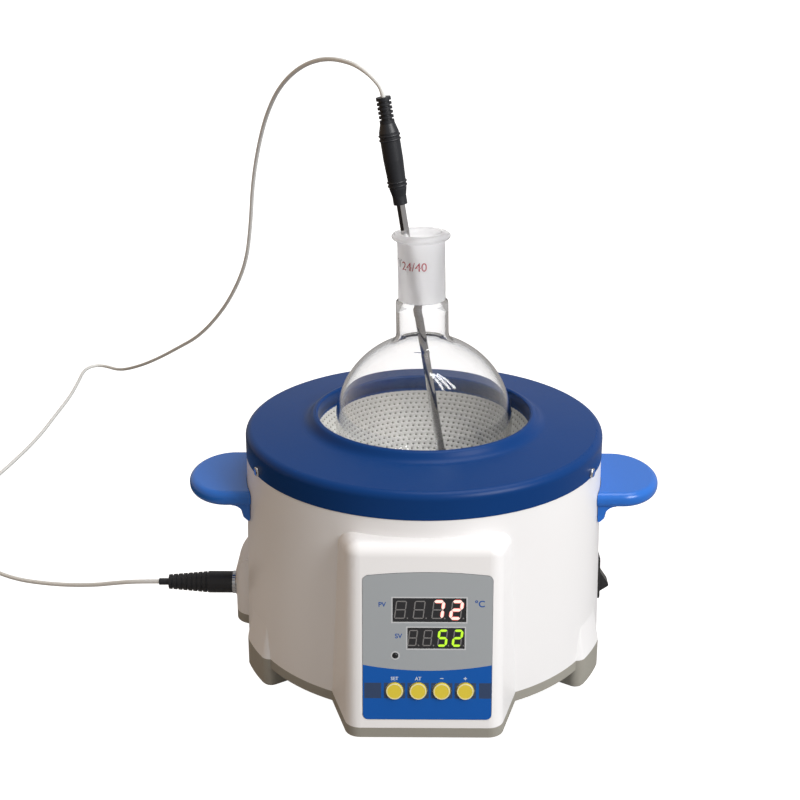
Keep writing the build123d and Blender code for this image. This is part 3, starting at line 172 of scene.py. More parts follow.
def background(tree, colour, strength):
    """An even light of one colour from all round."""
    node = tree.nodes.new("ShaderNodeBackground")
    node.inputs["Color"].default_value = (*colour, 1)
    node.inputs["Strength"].default_value = strength
    return node.outputs[0]


world = bpy.data.worlds.new("tent")
bpy.context.scene.world = world
world.use_nodes = True
sky = world.node_tree
sky.nodes.clear()
choose = sky.nodes.new("ShaderNodeMixShader")
sky.links.new(looking(sky), choose.inputs[0])
sky.links.new(background(sky, WORLD_TINT, WORLD_LIGHT), choose.inputs[1])
sky.links.new(background(sky, WHITE, 1.0), choose.inputs[2])
sky.links.new(choose.outputs[0], sky.nodes.new("ShaderNodeOutputWorld").inputs[0])
print("world nodes:", len(sky.nodes))

# %% [markdown]
# One large soft lamp stands on the right and a weaker one hangs above. Glass would show such
# large lamps as hard squares, so it sees three narrow window panes in their place. Light
# linking does that: each lamp has a collection of the pieces it lights, which are sorted
# into the two at the end of the script.

# %% Lamps
LAMP_AIM, WINDOW_AIM = (0, 0, 0.1), (0, 0, 0.15)
LAMP_SIZE, WINDOW_SIZE = (0.9, 0.9), (0.07, 0.70)
RIGHT_POWER, TOP_POWER, WINDOW_POWER = 26.5, 9.0, 3.4
WINDOW_PLACE, PANE_STEP, PANE_SLANT = (0.52, -0.36, 1.5), 0.14, 0.4
glass_pieces = bpy.data.collections.new("glass_pieces")
mantle_pieces = bpy.data.collections.new("mantle_pieces")


def area_lamp(name, place, aim, size, power, tint, lights):
    """A soft lamp of a width and height at a place, pointing at another, in metres and watts,
    which lights one collection of pieces."""
    data = bpy.data.lights.new(name, "AREA")
    data.shape = "RECTANGLE"
    data.size, data.size_y = size
    data.energy = power
    data.color = tint
    lamp = put(name, data)
    lamp.location = place
    lamp.rotation_euler = (Vector(aim) - Vector(place)).to_track_quat("-Z", "Y").to_euler()
    lamp.light_linking.receiver_collection = lights


area_lamp("lamp_right", (1.1, -1.0, 1.1), LAMP_AIM, LAMP_SIZE, RIGHT_POWER,
          (1.0, 0.995, 0.99), mantle_pieces)
area_lamp("lamp_top", (0.35, 0.1, 1.5), LAMP_AIM, LAMP_SIZE, TOP_POWER, WHITE, mantle_pieces)
for place, shift in enumerate((-PANE_STEP, 0.0, PANE_STEP)):
    x, y, z = WINDOW_PLACE
    pane = (x + shift, y + PANE_SLANT * shift, z)
    area_lamp("window_" + str(place), pane, WINDOW_AIM, WINDOW_SIZE, WINDOW_POWER, WHITE,
              glass_pieces)

# %% [markdown]
# The bench is white and, like the world, shows full white to a ray that looks. Two cards
# stand where the camera doesn't see them. The one on the left takes the world's light away
# there, as a studio's flag does, and gives back a dim warm glow, so the left of the
# drum falls into a warm grey. The dark one lies on the bench and shows only in glossy pieces.

# %% Bench and cards
CARD_RISE = 0.00005


def stage_sheet(name, corners, colour, rough):
    """One flat quad of the stage, which isn't part of the model, and its shader's sockets."""
    mesh = bpy.data.meshes.new(name)
    mesh.from_pydata(corners, [], [(0, 1, 2, 3)])
    sheet = put(name, mesh)
    paint = bpy.data.materials.new(name + "_paint")
    paint.use_nodes = True
    shader = paint.node_tree.nodes["Principled BSDF"]
    shader.inputs["Base Color"].default_value = (*colour, 1)
    shader.inputs["Roughness"].default_value = rough
    mesh.materials.append(paint)
    sheet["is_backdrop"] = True
    return sheet, paint.node_tree, shader.inputs


bench, bench_tree, bench_look = stage_sheet(
    "bench", [(-6, -4, 0), (6, -4, 0), (6, 9, 0), (-6, 9, 0)], (0.80, 0.80, 0.80), 0.6
)
bench_look["Emission Color"].default_value = (*WHITE, 1)
bench_tree.links.new(looking(bench_tree), bench_look["Emission Strength"])

flag, _, flag_look = stage_sheet(
    "flag",
    [(-1.1, -1.6, 0.02), (-1.1, 1.0, 0.02), (-1.1, 1.0, 1.6), (-1.1, -1.6, 1.6)],
    (0.03, 0.028, 0.025),
    0.9,
)
flag_look["Emission Color"].default_value = (0.44, 0.30, 0.18, 1)
flag_look["Emission Strength"].default_value = 1.0

card, _, _ = stage_sheet(
    "dark_card",
    [(x, y, CARD_RISE) for x, y in ((-1.6, -1.6), (-0.26, -1.6), (-0.26, 0.6), (-1.6, 0.6))],
    (0.01, 0.01, 0.012),
    0.9,
)
for sheet in (flag, card):
    sheet.visible_camera = sheet.visible_transmission = sheet.visible_shadow = False
card.visible_diffuse = False
print("stage:", ", ".join(sheet.name for sheet in (bench, flag, card)))

# %% [markdown]
# Two effects come back in almost every finish, so each is a node group with its own inputs:
# a fine grain that feeds bump, and a slow drift of tone and gloss, like the handling marks
# and moulding flow that keep a real surface from looking like one flat colour.


# %% Shared effects
def new_group(name, inputs, outputs):
    """An empty shader group with number inputs (name, default) and number outputs by name."""
    group = bpy.data.node_groups.new(name, "ShaderNodeTree")
    for label, value in inputs:
        socket = group.interface.new_socket(label, in_out="INPUT", socket_type="NodeSocketFloat")
        socket.default_value = value
    for label in outputs:
        group.interface.new_socket(label, in_out="OUTPUT", socket_type="NodeSocketFloat")
    entry, leave = (group.nodes.new("NodeGroup" + end) for end in ("Input", "Output"))
    return group, entry.outputs, leave.inputs


def noise(tree, scale, detail=2.0):
    """Noise on the object's own coordinates, at a scale that is another node's output."""
    where = tree.nodes.new("ShaderNodeTexCoord")
    cloud = tree.nodes.new("ShaderNodeTexNoise")
    cloud.inputs["Detail"].default_value = detail
    tree.links.new(where.outputs["Object"], cloud.inputs["Vector"])
    tree.links.new(scale, cloud.inputs["Scale"])
    return cloud.outputs[0]


def grain_group():
    """Height = Depth x (noise at Scale + 1/2 noise at 3.1 Scale)."""
    group, given, made = new_group("surface_grain", [("Scale", 900.0), ("Depth", 0.2)], ["Height"])
    coarse = noise(group, given["Scale"])
    fine = noise(group, reckon(group, "MULTIPLY", given["Scale"], 3.1))
    both = reckon(group, "MULTIPLY_ADD", fine, 0.5, coarse)
    group.links.new(reckon(group, "MULTIPLY", both, given["Depth"]), made["Height"])
    return group


def drift_group():
    """Tone and Gloss = 1/2 + Spread x (noise - 1/2), the noise of Gloss 2.7 times as fine."""
    group, given, made = new_group(
        "tone_drift", [("Scale", 14.0), ("Spread", 0.3)], ["Tone", "Gloss"]
    )
    for label, factor, detail in (("Tone", 1.0, 3.0), ("Gloss", 2.7, 6.0)):
        cloud = noise(group, reckon(group, "MULTIPLY", given["Scale"], factor), detail)
        centred = reckon(group, "SUBTRACT", cloud, 0.5)
        spread = reckon(group, "MULTIPLY_ADD", centred, given["Spread"], 0.5)
        group.links.new(spread, made[label])
    return group


surface_grain = grain_group()
tone_drift = drift_group()
print("shared effects:", len(bpy.data.node_groups))

# %% [markdown]
# A finish is one material with both effects in it. The drift moves its colour between a dark
# and a light tone and its roughness between two values, and the grain gives it bump. Numbers
# that are the same all over, such as metal and coat, sit on the shader's own sockets.


# %% Finish maker
def finish(name, dark, light, rough, metal=0.0, coat=0.0, grain=(900.0, 0.2, 0.02),
           drift=(14.0, 0.5), shine=0.5):
    """Colour = dark + Tone (light - dark), roughness = rough[0] + Gloss (rough[1] - rough[0]).
    grain is its scale, its depth and the bump distance in millimetres, and drift is its scale
    and spread."""
    material = bpy.data.materials.new(name)
    material.use_nodes = True
    tree = material.node_tree
    link = tree.links.new
    shader = tree.nodes["Principled BSDF"]
    shader.inputs["Metallic"].default_value = metal
    shader.inputs["Coat Weight"].default_value = coat
    shader.inputs["Specular IOR Level"].default_value = shine
    shader.inputs["Coat Roughness"].default_value = 0.08
    slow = tree.nodes.new("ShaderNodeGroup")
    slow.node_tree = tone_drift
    slow.inputs["Scale"].default_value, slow.inputs["Spread"].default_value = drift
    colour = tree.nodes.new("ShaderNodeMix")
    colour.data_type = "RGBA"
    colour.inputs["A"].default_value = (*dark, 1)
    colour.inputs["B"].default_value = (*light, 1)
    link(slow.outputs["Tone"], colour.inputs["Factor"])
    link(colour.outputs["Result"], shader.inputs["Base Color"])
    gloss = tree.nodes.new("ShaderNodeMapRange")
    gloss.inputs["To Min"].default_value, gloss.inputs["To Max"].default_value = rough
    link(slow.outputs["Gloss"], gloss.inputs["Value"])
    link(gloss.outputs["Result"], shader.inputs["Roughness"])
    fine = tree.nodes.new("ShaderNodeGroup")
    fine.node_tree = surface_grain
    fine.inputs["Scale"].default_value, fine.inputs["Depth"].default_value = grain[:2]
    bump = tree.nodes.new("ShaderNodeBump")
    bump.inputs["Distance"].default_value = grain[2] * mm
    bump.inputs["Strength"].default_value = 1.0
    link(fine.outputs["Height"], bump.inputs["Height"])
    link(bump.outputs["Normal"], shader.inputs["Normal"])
    return material


def dress(material, *names):
    """Give CAD nodes one finish."""
    for name in names:
        for slot in nodes[name].material_slots:
            slot.material = material
    print(material.name, "on", ", ".join(names))


# %% [markdown]
# The housing is glossy white ABS, a little warm. The tray and feet are the same plastic in
# grey, less polished. The cover is sheet steel with satin blue paint, whose orange peel is a
# coarse shallow bump. The handles are glossy blue mouldings with a thin clear coat.

# %% Housing, cover and handles
white_shell = finish("white_abs", (0.79, 0.785, 0.79), (0.82, 0.815, 0.82), (0.34, 0.38),
                     grain=(1400.0, 0.5, 0.01), drift=(9.0, 0.4))
dress(white_shell, "housing_shell")
grey_base = finish("grey_abs", (0.29, 0.278, 0.24), (0.33, 0.318, 0.278), (0.45, 0.58),
                   grain=(1500.0, 1.0, 0.05))
dress(grey_base, "base_tray")
blue_paint = finish("satin_blue_paint", (0.001, 0.033, 0.150), (0.002, 0.037, 0.165),
                    (0.30, 0.38), grain=(700.0, 0.8, 0.03), shine=0.15)
dress(blue_paint, "top_cover")
blue_handle = finish("blue_moulding", (0.014, 0.125, 0.500), (0.020, 0.145, 0.540),
                     (0.22, 0.30), coat=0.2, grain=(300.0, 0.5, 0.02), shine=0.35)
dress(blue_handle, "handle_left", "handle_right")

# %% [markdown]
# Screws, the socket and the probe's stem are bright metal, and the stem is polished. Inside,
# the pot, its legs and their rivets are plain zinc-plated sheet. These parts are too small for
# brush marks to be told apart, so a finer and stronger grain stands for them.

# %% Metals
steel = finish("bright_steel", (0.50, 0.50, 0.51), (0.66, 0.66, 0.66), (0.10, 0.22),
               metal=1.0, grain=(2500.0, 0.5, 0.03))
dress(steel, "tray_screws", "cover_screws", "handle_screws", "board_screws")
dress(steel, "sensor_socket", "socket_nut", "sensor_plug", "heating_wire")
polished = finish("polished_steel", (0.62, 0.62, 0.63), (0.68, 0.68, 0.68), (0.05, 0.09),
                  metal=1.0, grain=(2500.0, 0.1, 0.002))
sheet_steel = finish("zinc_sheet", (0.46, 0.47, 0.49), (0.60, 0.61, 0.62), (0.30, 0.5),
                     metal=1.0, grain=(600.0, 0.5, 0.05))
dress(sheet_steel, "inner_pot", "pot_legs", "leg_rivets", "heat_sink")
brass = finish("plated_brass", (0.60, 0.46, 0.20), (0.74, 0.60, 0.30), (0.2, 0.36), metal=1.0)
dress(brass, "inlet_pins")

# %% [markdown]
# The switch, inlet and terminal block are black moulded plastic; the boot and the probe's
# handle are softer black rubber, rougher and slightly grey where it is handled. The lead has
# a pale, finely braided sheath.

# %% Black mouldings, boards, wool and lead
black_plastic = finish("black_moulding", (0.012, 0.012, 0.013), (0.022, 0.022, 0.023),
                       (0.25, 0.42), grain=(1200.0, 0.6, 0.03))
dress(black_plastic, "switch_frame", "switch_rocker", "mains_inlet", "terminal_block",
      "tact_switches")
black_rubber = finish("black_rubber", (0.007, 0.008, 0.011), (0.012, 0.014, 0.019),
                      (0.34, 0.52), grain=(1400.0, 0.8, 0.04))
dress(black_rubber, "plug_boot", "probe_handle")
green_board = finish("circuit_board", (0.010, 0.110, 0.045), (0.016, 0.150, 0.060), (0.3, 0.5),
                     grain=(500.0, 0.5, 0.02))
dress(green_board, "control_board", "power_board")
wool = finish("mineral_wool", (0.52, 0.48, 0.36), (0.78, 0.74, 0.62), (0.9, 1.0),
              grain=(300.0, 1.0, 0.8))
dress(wool, "wool_lining")
lead_sheath = finish("lead_sheath", (0.62, 0.62, 0.60), (0.78, 0.78, 0.76), (0.25, 0.4),
                     grain=(2200.0, 1.0, 0.08))
lead.data.materials.append(lead_sheath)

# %% [markdown]
# The panel is a printed film: grey, with a blue field at its foot. The buttons are yellow
# silicone, and each display sits behind a dark filter.

# %% Panel
label_film = finish("label_film", (0.325, 0.350, 0.370), (0.340, 0.365, 0.385), (0.34, 0.44),
                    grain=(1600.0, 0.4, 0.02))
dress(label_film, "panel_label")
button_rubber = finish("yellow_silicone", (0.66, 0.52, 0.03), (0.72, 0.58, 0.05), (0.45, 0.6),
                       grain=(1200.0, 0.5, 0.03))
dress(button_rubber, "button_set", "button_auto_tune", "button_down", "button_up")
filter_black = finish("display_filter", (0.010, 0.011, 0.014), (0.014, 0.015, 0.018),
                      (0.10, 0.2), coat=0.4, grain=(400.0, 0.2, 0.01))
dress(filter_black, "display_pv", "display_sv")
lamp_lens = finish("lamp_lens", (0.004, 0.005, 0.008), (0.006, 0.007, 0.010), (0.3, 0.4))
dress(lamp_lens, "indicator_lamp")

# %% [markdown]
# Everything printed on the panel is placed in the panel's own flat coordinates, in
# millimetres: u runs to the right, v up the leaning face and w out of it. One function turns
# them into points, and two more turn a mesh into a piece that rides on a body.

# %% Panel coordinates
PANEL_X, NOSE_FRONT, BASE_Z, LEAN = 1.5, 135.0, 18.5, radians(10.0)
FACE = 0.2  # the label's surface stands this far out of the housing
across = np.array([1.0, 0.0, 0.0])
upward = np.array([0.0, np.sin(LEAN), np.cos(LEAN)])
outward = np.array([0.0, -np.cos(LEAN), np.sin(LEAN)])
panel_origin = np.array([PANEL_X, -NOSE_FRONT, BASE_Z])


def on_panel(u, v, w):
    """Point = panel origin + u across + v upward + w outward, for arrays of any one shape."""
    u, v, w = np.broadcast_arrays(np.asarray(u, float), np.asarray(v, float), np.asarray(w, float))
    flat = u[..., None] * across + v[..., None] * upward
    return (panel_origin + flat + w[..., None] * outward) * mm


def make_piece(name, mesh, material, body="mantle"):
    """A mesh as a piece at the origin that rides on a body and takes its finish from a slot."""
    mesh.materials.clear()
    mesh.materials.append(material)
    piece = put(name, mesh)
    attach(piece, body)
    return piece


def add_mesh(name, points, faces, material, body="mantle"):
    """A piece from its points in metres and its faces, each a list of point numbers."""
    mesh = bpy.data.meshes.new(name)
    mesh.from_pydata([tuple(p) for p in points], [], faces)
    mesh.update()
    return make_piece(name, mesh, material, body)


print("panel leans back by", round(float(np.degrees(LEAN)), 1), "degrees")

# %% [markdown]
# Bars, borders and rings of the print are very thin prisms, because a flat face in the same
# plane as the label would flicker through it.


# %% Printed shapes
def printed_shapes(name, outlines, material, thickness=0.03, face=FACE + 0.01):
    """Prisms: each outline is a convex loop of (u, v), raised by thickness off the face. Its
    signed area, half the sum of u v' - u' v, says which way round it runs."""
    points, faces = [], []
    for loop in outlines:
        loop = np.array(loop, float)
        ahead = np.roll(loop, -1, axis=0)
        if np.sum(loop[:, 0] * ahead[:, 1] - loop[:, 1] * ahead[:, 0]) < 0:
            loop = loop[::-1]
        low = len(points) + np.arange(len(loop))
        high, after = low + len(loop), np.roll(low, -1)
        for height in (face, face + thickness):
            points.extend(on_panel(loop[:, 0], loop[:, 1], height))
        faces += [high.tolist(), low[::-1].tolist()]
        faces += np.stack([low, after, after + len(loop), high], axis=1).tolist()
    print(name, "has", len(outlines), "shapes")
    return add_mesh(name, points, faces, material)


# %% [markdown]
# The blue field's upper edge is the reverse of the label's: highest at the corners and lowest
# in the middle, like a shallow bowl. The field is a grid whose lower and upper edges are
# curves, cut where the buttons pass through.

# %% Blue field
BUTTON_V, BUTTON_PITCH, HOLE = 21.8, 13.0, 5.15
BUTTONS = [(1.5 + (i - 1.5) * BUTTON_PITCH, BUTTON_V) for i in range(4)]
LABEL_HALF, LABEL_FOOT, LABEL_CORNER = 35.5, 5.1, 3.0
FIELD_ENDS, FIELD_MIDDLE, FIELD_STRIPS = 36.8, 33.5, 284


def arch(u, ends, middle, half):
    """Height of a parabola that is middle at u = 0 and ends at u = half either way."""
    return middle + (ends - middle) * (u / half) ** 2


def strip_faces(count):
    """Quads of two bands of strips, between rows 0 and 1 and between rows 2 and 3."""
    start = np.arange(count - 1)[:, None] + np.array([0, 2]) * count
    quads = np.stack([start, start + 1, start + count + 1, start + count], axis=-1)
    return quads.reshape(-1, 4).tolist()


def blue_field(name, material):
    """Vertical strips from the label's foot to the arch; a strip that crosses a hole's circle
    is split at v = centre -+ sqrt(r^2 - (u - centre)^2). A circle rounds the lower corners."""
    u = np.linspace(-LABEL_HALF, LABEL_HALF, FIELD_STRIPS + 1)
    inward = np.clip(np.abs(u) - (LABEL_HALF - LABEL_CORNER), 0, LABEL_CORNER)
    bottom = LABEL_FOOT + (LABEL_CORNER - np.sqrt(LABEL_CORNER**2 - inward**2))
    reach = HOLE**2 - (u - np.array([[centre] for centre, _ in BUTTONS])) ** 2
    notch = np.sqrt(np.maximum(reach.max(axis=0), 0.0))
    top = arch(u, FIELD_ENDS, FIELD_MIDDLE, LABEL_HALF)
    rows = np.stack([bottom, BUTTON_V - notch, BUTTON_V + notch, top])
    points = on_panel(u, rows, FACE + 0.004).reshape(-1, 3)
    return add_mesh(name, points, strip_faces(len(u)), material)


blue_print = finish("blue_print", (0.001, 0.082, 0.37), (0.002, 0.095, 0.41), (0.34, 0.44),
                    grain=(1600.0, 0.4, 0.02), shine=0.3)
print("blue field faces:", len(blue_field("label_blue_field", blue_print).data.polygons))

# %% [markdown]
# Dark pads stand behind the buttons, parted by thin gaps in which the blue shows. A pad is
# the same kind of grid, moved sideways, and the two at the label's ends are narrower.

# %% Pads behind the buttons
PAD_LOW, PAD_HIGH, PAD_STRIPS = 17.4, 26.4, 60
dark_print = finish("dark_blue_print", (0.020, 0.045, 0.110), (0.026, 0.052, 0.125),
                    (0.34, 0.44), grain=(1600.0, 0.4, 0.02))


def pad(name, centre, half, hole):
    """Strips across one pad from PAD_LOW to PAD_HIGH, split round the button's hole if any."""
    u = np.linspace(centre - half, centre + half, PAD_STRIPS + 1)
    reach = np.maximum(HOLE**2 - (u - centre) ** 2, 0.0) if hole else 0.0 * u
    notch = np.minimum(np.sqrt(reach), 0.5 * (PAD_HIGH - PAD_LOW) - 0.01)
    middle = 0.5 * (PAD_LOW + PAD_HIGH)
    rows = np.stack([PAD_LOW + 0 * u, middle - notch, middle + notch, PAD_HIGH + 0 * u])
    points = on_panel(u, rows, FACE + 0.012).reshape(-1, 3)
    return add_mesh(name, points, strip_faces(len(u)), dark_print)


for place, (centre, _) in enumerate(BUTTONS):
    pad("button_pad_" + str(place), centre, 5.9, True)
pad("end_pad_left", -30.0, 4.7, False)
pad("end_pad_right", 32.0, 3.4, False)
print("pads:", len(BUTTONS) + 2)

# %% [markdown]
# A seven-segment digit is seven slim six-sided bars that lean to the right. Lit bars glow and
# unlit ones are a grey just above black, as they are behind a real display filter.

# %% Segments of a digit
SEGMENTS = {"8": "abcdefg", "7": "abc", "2": "abged", "5": "afgcd"}
SLANT, BAR_GAP = 0.12, 0.12


def segment_loops(digit, u, v, wide, tall, bar):
    """Each bar is a hexagon along its line, shortened at both ends by BAR_GAP of its breadth,
    then sheared: u grows by SLANT times the height over the digit's middle."""
    half_w, half_t = wide / 2, tall / 2
    ends = {
        "a": ((-half_w, half_t), (half_w, half_t)),
        "g": ((-half_w, 0), (half_w, 0)),
        "d": ((-half_w, -half_t), (half_w, -half_t)),
        "f": ((-half_w, 0), (-half_w, half_t)),
        "b": ((half_w, 0), (half_w, half_t)),
        "e": ((-half_w, -half_t), (-half_w, 0)),
        "c": ((half_w, -half_t), (half_w, 0)),
    }
    loops = []
    for letter in SEGMENTS[digit]:
        start, end = (np.array(p, float) for p in ends[letter])
        along = (end - start) / np.linalg.norm(end - start)
        side = np.array([-along[1], along[0]]) * bar / 2
        start, end = start + along * BAR_GAP * bar, end - along * BAR_GAP * bar
        tip = along * bar / 2
        near, far = start + tip, end - tip
        loop = np.array([start, near - side, far - side, end, far + side, near + side])
        loop[:, 0] += loop[:, 1] * SLANT + u
        loop[:, 1] += v
        loops.append(loop)
    return loops


def dot_loop(u, v, radius, count=14):
    """A regular polygon close to a circle: centre + radius x (cos t, sin t)."""
    turn = np.linspace(0, 2 * np.pi, count, endpoint=False)
    return np.stack([u + radius * np.cos(turn), v + radius * np.sin(turn)], axis=1)


print("bars lit:", {digit: len(bars) for digit, bars in SEGMENTS.items()})

# %% [markdown]
# Both displays are rows of such digits. A lit bar is thicker than an unlit one, and under it
# lies a wider, dimmer bar of a deeper colour, the glow that a real one has round it.

# %% Displays
UNLIT_BAR, DOT_RADIUS, DOT_ASIDE, GLOW_WIDER = 0.62, 0.42, 1.1, 0.55
FILTER_FACE = -0.2 + 0.01  # the display filters lie this much below the panel
PV_V, SV_V = 68.3, 52.2


def glowing(name, colour, strength):
    """A dark surface that gives off its own colour."""
    dim, dimmer = (tuple(share * c for c in colour) for share in (0.35, 0.3))
    material = finish(name, dimmer, dim, (0.4, 0.5))
    shader = material.node_tree.nodes["Principled BSDF"]
    shader.inputs["Emission Color"].default_value = (*colour, 1)
    shader.inputs["Emission Strength"].default_value = strength
    return material


def display(name, centre, pitch, wide, tall, digits, lit_from, lit_bar, material, halo):
    """Digits in a row about a centre, with a dot at the foot of each, lit from one place on."""
    dark_loops, lit_loops, glow_loops = [], [], []
    for place, digit in enumerate(digits):
        u = centre[0] + (place - (len(digits) - 1) / 2) * pitch
        dark_loops += segment_loops("8", u, centre[1], wide, tall, UNLIT_BAR)
        dark_loops.append(dot_loop(u + wide / 2 + DOT_ASIDE, centre[1] - tall / 2, DOT_RADIUS))
        if place >= lit_from:
            lit_loops += segment_loops(digit, u, centre[1], wide, tall, lit_bar)
            glow_loops += segment_loops(digit, u, centre[1], wide, tall, lit_bar + GLOW_WIDER)
    printed_shapes(name + "_unlit", dark_loops, unlit, face=FILTER_FACE)
    printed_shapes(name + "_glow", glow_loops, halo, face=FILTER_FACE + 0.02)
    printed_shapes(name + "_lit", lit_loops, material, face=FILTER_FACE + 0.04)


unlit = finish("unlit_segment", (0.17, 0.165, 0.165), (0.20, 0.195, 0.195), (0.5, 0.6))
red_lit = glowing("red_segment", (1.0, 0.62, 0.56), 1.2)
red_halo = glowing("red_edge", (0.9, 0.10, 0.07), 0.8)
green_lit = glowing("green_segment", (0.50, 0.90, 0.03), 1.0)
green_halo = glowing("green_edge", (0.16, 0.34, 0.02), 0.5)
display("pv_digits", (0.5, PV_V), 10.2, 5.4, 9.6, "8872", 2, 1.6, red_lit, red_halo)
display("sv_digits", (4.2, SV_V), 8.2, 4.3, 8.6, "8852", 2, 1.15, green_lit, green_halo)

# %% [markdown]
# A pale line stands round each display window, a painted highlight along the window's
# bevelled edge, and a pale ring stands round the lamp. Each button has a moulded rim, painted
# paler as a painted highlight along its edge. The rim is a small closed section turned about
# the button's own middle.

# %% Borders and rims
BORDER = 0.7
RIM_SECTION = ((3.95, 1.27), (3.95, 1.36), (4.55, 1.32), (4.55, 1.0))  # radius and height
# painted highlight: the pale lines round the display windows stand for light on their bevelled
# edges; the same paint rings the lamp
bevel_highlight_and_ring = finish("bevel_highlight_and_ring", (0.50, 0.52, 0.54), (0.54, 0.56, 0.58), (0.4, 0.5))
# painted highlight: each button's rim is painted paler than the button, for the light along its
# edge
rim_highlight_paint = finish("rim_highlight_paint", (0.74, 0.68, 0.36), (0.80, 0.74, 0.42), (0.4, 0.5))


def border(name, centre, wide, tall):
    """Four thin strips just outside a window of that width and height."""
    u, v, a, b = centre[0], centre[1], wide / 2, tall / 2
    strips = (
        (-a - BORDER, -b - BORDER, a + BORDER, -b),
        (-a - BORDER, b, a + BORDER, b + BORDER),
        (-a - BORDER, -b, -a, b),
        (a, -b, a + BORDER, b),
    )
    loops = [[(u + x0, v + y0), (u + x1, v + y0), (u + x1, v + y1), (u + x0, v + y1)]
             for x0, y0, x1, y1 in strips]
    printed_shapes(name, loops, bevel_highlight_and_ring)


def pale_ring(name, centre, inner, outer, count=32):
    """A flat ring of short quads about a centre: corners at centre + radius x (cos t, sin t)."""
    turn = np.linspace(0, 2 * np.pi, count + 1)
    rim = np.stack([np.cos(turn), np.sin(turn)], axis=1)
    near, far = centre + inner * rim, centre + outer * rim
    loops = np.stack([near[:-1], far[:-1], far[1:], near[1:]], axis=1)
    printed_shapes(name, loops, bevel_highlight_and_ring)


def round_rows(rows, around):
    """Numbers of a grid's points round an axis, the same numbers one step ahead, and its
    quads, each a point, the next one and both a row on. The last row of quads joins the last
    row of points to the first, so a section that isn't closed leaves it out."""
    index = np.arange(rows * around).reshape(rows, around)
    ahead = np.roll(index, -1, axis=1)
    over, beyond = np.roll(index, -1, axis=0), np.roll(ahead, -1, axis=0)
    return index, ahead, np.stack([index, ahead, beyond, over], axis=-1)


def button_rim(name, body, u, v, count=36):
    """Points = (u + r cos t, v + r sin t, height) for each (r, height) of the rim's section."""
    turn = np.linspace(0, 2 * np.pi, count, endpoint=False)
    radius, height = np.array(RIM_SECTION).T[:, :, None]
    points = on_panel(u + radius * np.cos(turn), v + radius * np.sin(turn), height + FACE)
    quads = round_rows(len(RIM_SECTION), count)[2].reshape(-1, 4).tolist()
    return add_mesh(name, points.reshape(-1, 3), quads, rim_highlight_paint, body=body)


for kind, (u, v) in zip(("button_set", "button_auto_tune", "button_down", "button_up"), BUTTONS):
    button_rim("rim_" + kind, kind, u, v)
border("pv_border", (1.0, PV_V), 40.3, 13.6)
border("sv_border", (4.7, SV_V), 31.4, 12.0)
pale_ring("lamp_ring", np.array([-17.6, 42.2]), 1.75, 2.5)

# %% [markdown]
# The short marks PV, SV, °C and those over the buttons are text, turned into meshes. A text
# lies flat in its own plane, so its points are read, scaled and laid on the panel.

# %% Printed marks
CAPITAL = 0.7  # the height of a capital in a text of size 1
MARK_FACE, MARK_WEIGHT, BUTTON_MARK_V = 0.03, 0.02, 28.8


def flat_text(name, text, tall, weight=0.0):
    """A text as a flat mesh, and its points in millimetres = text points x tall / capital."""
    data = bpy.data.curves.new(name, "FONT")
    data.body = text
    data.align_x = "CENTER"
    data.align_y = "CENTER"
    data.offset = weight
    holder = put(name, data)
    bpy.context.view_layer.update()
    mesh = bpy.data.meshes.new_from_object(holder)
    bpy.data.objects.remove(holder)
    points = np.empty(len(mesh.vertices) * 3)
    mesh.vertices.foreach_get("co", points)
    return mesh, points.reshape(-1, 3) * tall / CAPITAL


def mark(name, text, u, v, tall, material):
    """The text's x and y, scaled so a capital is tall, become u and v on the panel."""
    mesh, points = flat_text(name, text, tall, MARK_WEIGHT)
    placed = on_panel(u + points[:, 0], v + points[:, 1], FACE + MARK_FACE)
    mesh.vertices.foreach_set("co", placed.ravel())
    mesh.update()
    return make_piece(name, mesh, material)


blue_ink = finish("blue_ink", (0.006, 0.07, 0.30), (0.008, 0.08, 0.34), (0.4, 0.5))
white_ink = finish("white_ink", (0.52, 0.58, 0.66), (0.58, 0.64, 0.72), (0.4, 0.5))
mark("mark_pv", "PV", -24.9, 71.3, 2.6, blue_ink)
mark("mark_sv", "SV", -15.9, 53.3, 2.6, blue_ink)
mark("mark_unit", "°C", 28.5, 71.7, 3.6, blue_ink)
BUTTON_MARKS = (("SET", 1.9), ("AT", 1.9), ("−", 2.6), ("+", 2.6))
for place, ((u, _), (word, tall)) in enumerate(zip(BUTTONS, BUTTON_MARKS)):
    mark("mark_button_" + str(place), word, u, BUTTON_MARK_V, tall, white_ink)
print("marks made:", 3 + len(BUTTON_MARKS))

# %% [markdown]
# The bowl is knitted from glass-fibre yarn. Its stitches leave a regular lattice of small dark
# pits, each row set half a step from the next. A row keeps the same pitch whatever its
# radius, so it has fewer pits further down. The surface is one grid round the axis: its
# profile is an arc, then the straight slope that touches it, then the flange.

# %% Profile of the bowl
BOWL_Z, BALL_R, RIM_R, RIM_Z, FLANGE_R, CLOTH = 149.3, 54.1, 66.0, 148.5, 82.0, 3.0
rim_far = np.hypot(RIM_R, RIM_Z - BOWL_Z)
touch_angle = np.arctan2(RIM_Z - BOWL_Z, RIM_R) - np.arccos(BALL_R / rim_far)
ARC_LENGTH = BALL_R * (touch_angle + np.pi / 2)
SLOPE_LENGTH = np.sqrt(rim_far**2 - BALL_R**2)


def bowl_profile(s, inset):
    """Radius and height at length s from the bottom. On the arc the angle is s / R - 90 degrees;
    past it, the point moves along the tangent. inset moves the line out along its normal."""
    s = np.asarray(s, float)
    angle = np.minimum(s / BALL_R - np.pi / 2, touch_angle)
    past = np.maximum(s - ARC_LENGTH, 0.0)
    radius = (BALL_R + inset) * np.cos(angle) - past * np.sin(touch_angle)
    height = BOWL_Z + (BALL_R + inset) * np.sin(angle) + past * np.cos(touch_angle)
    return radius, height


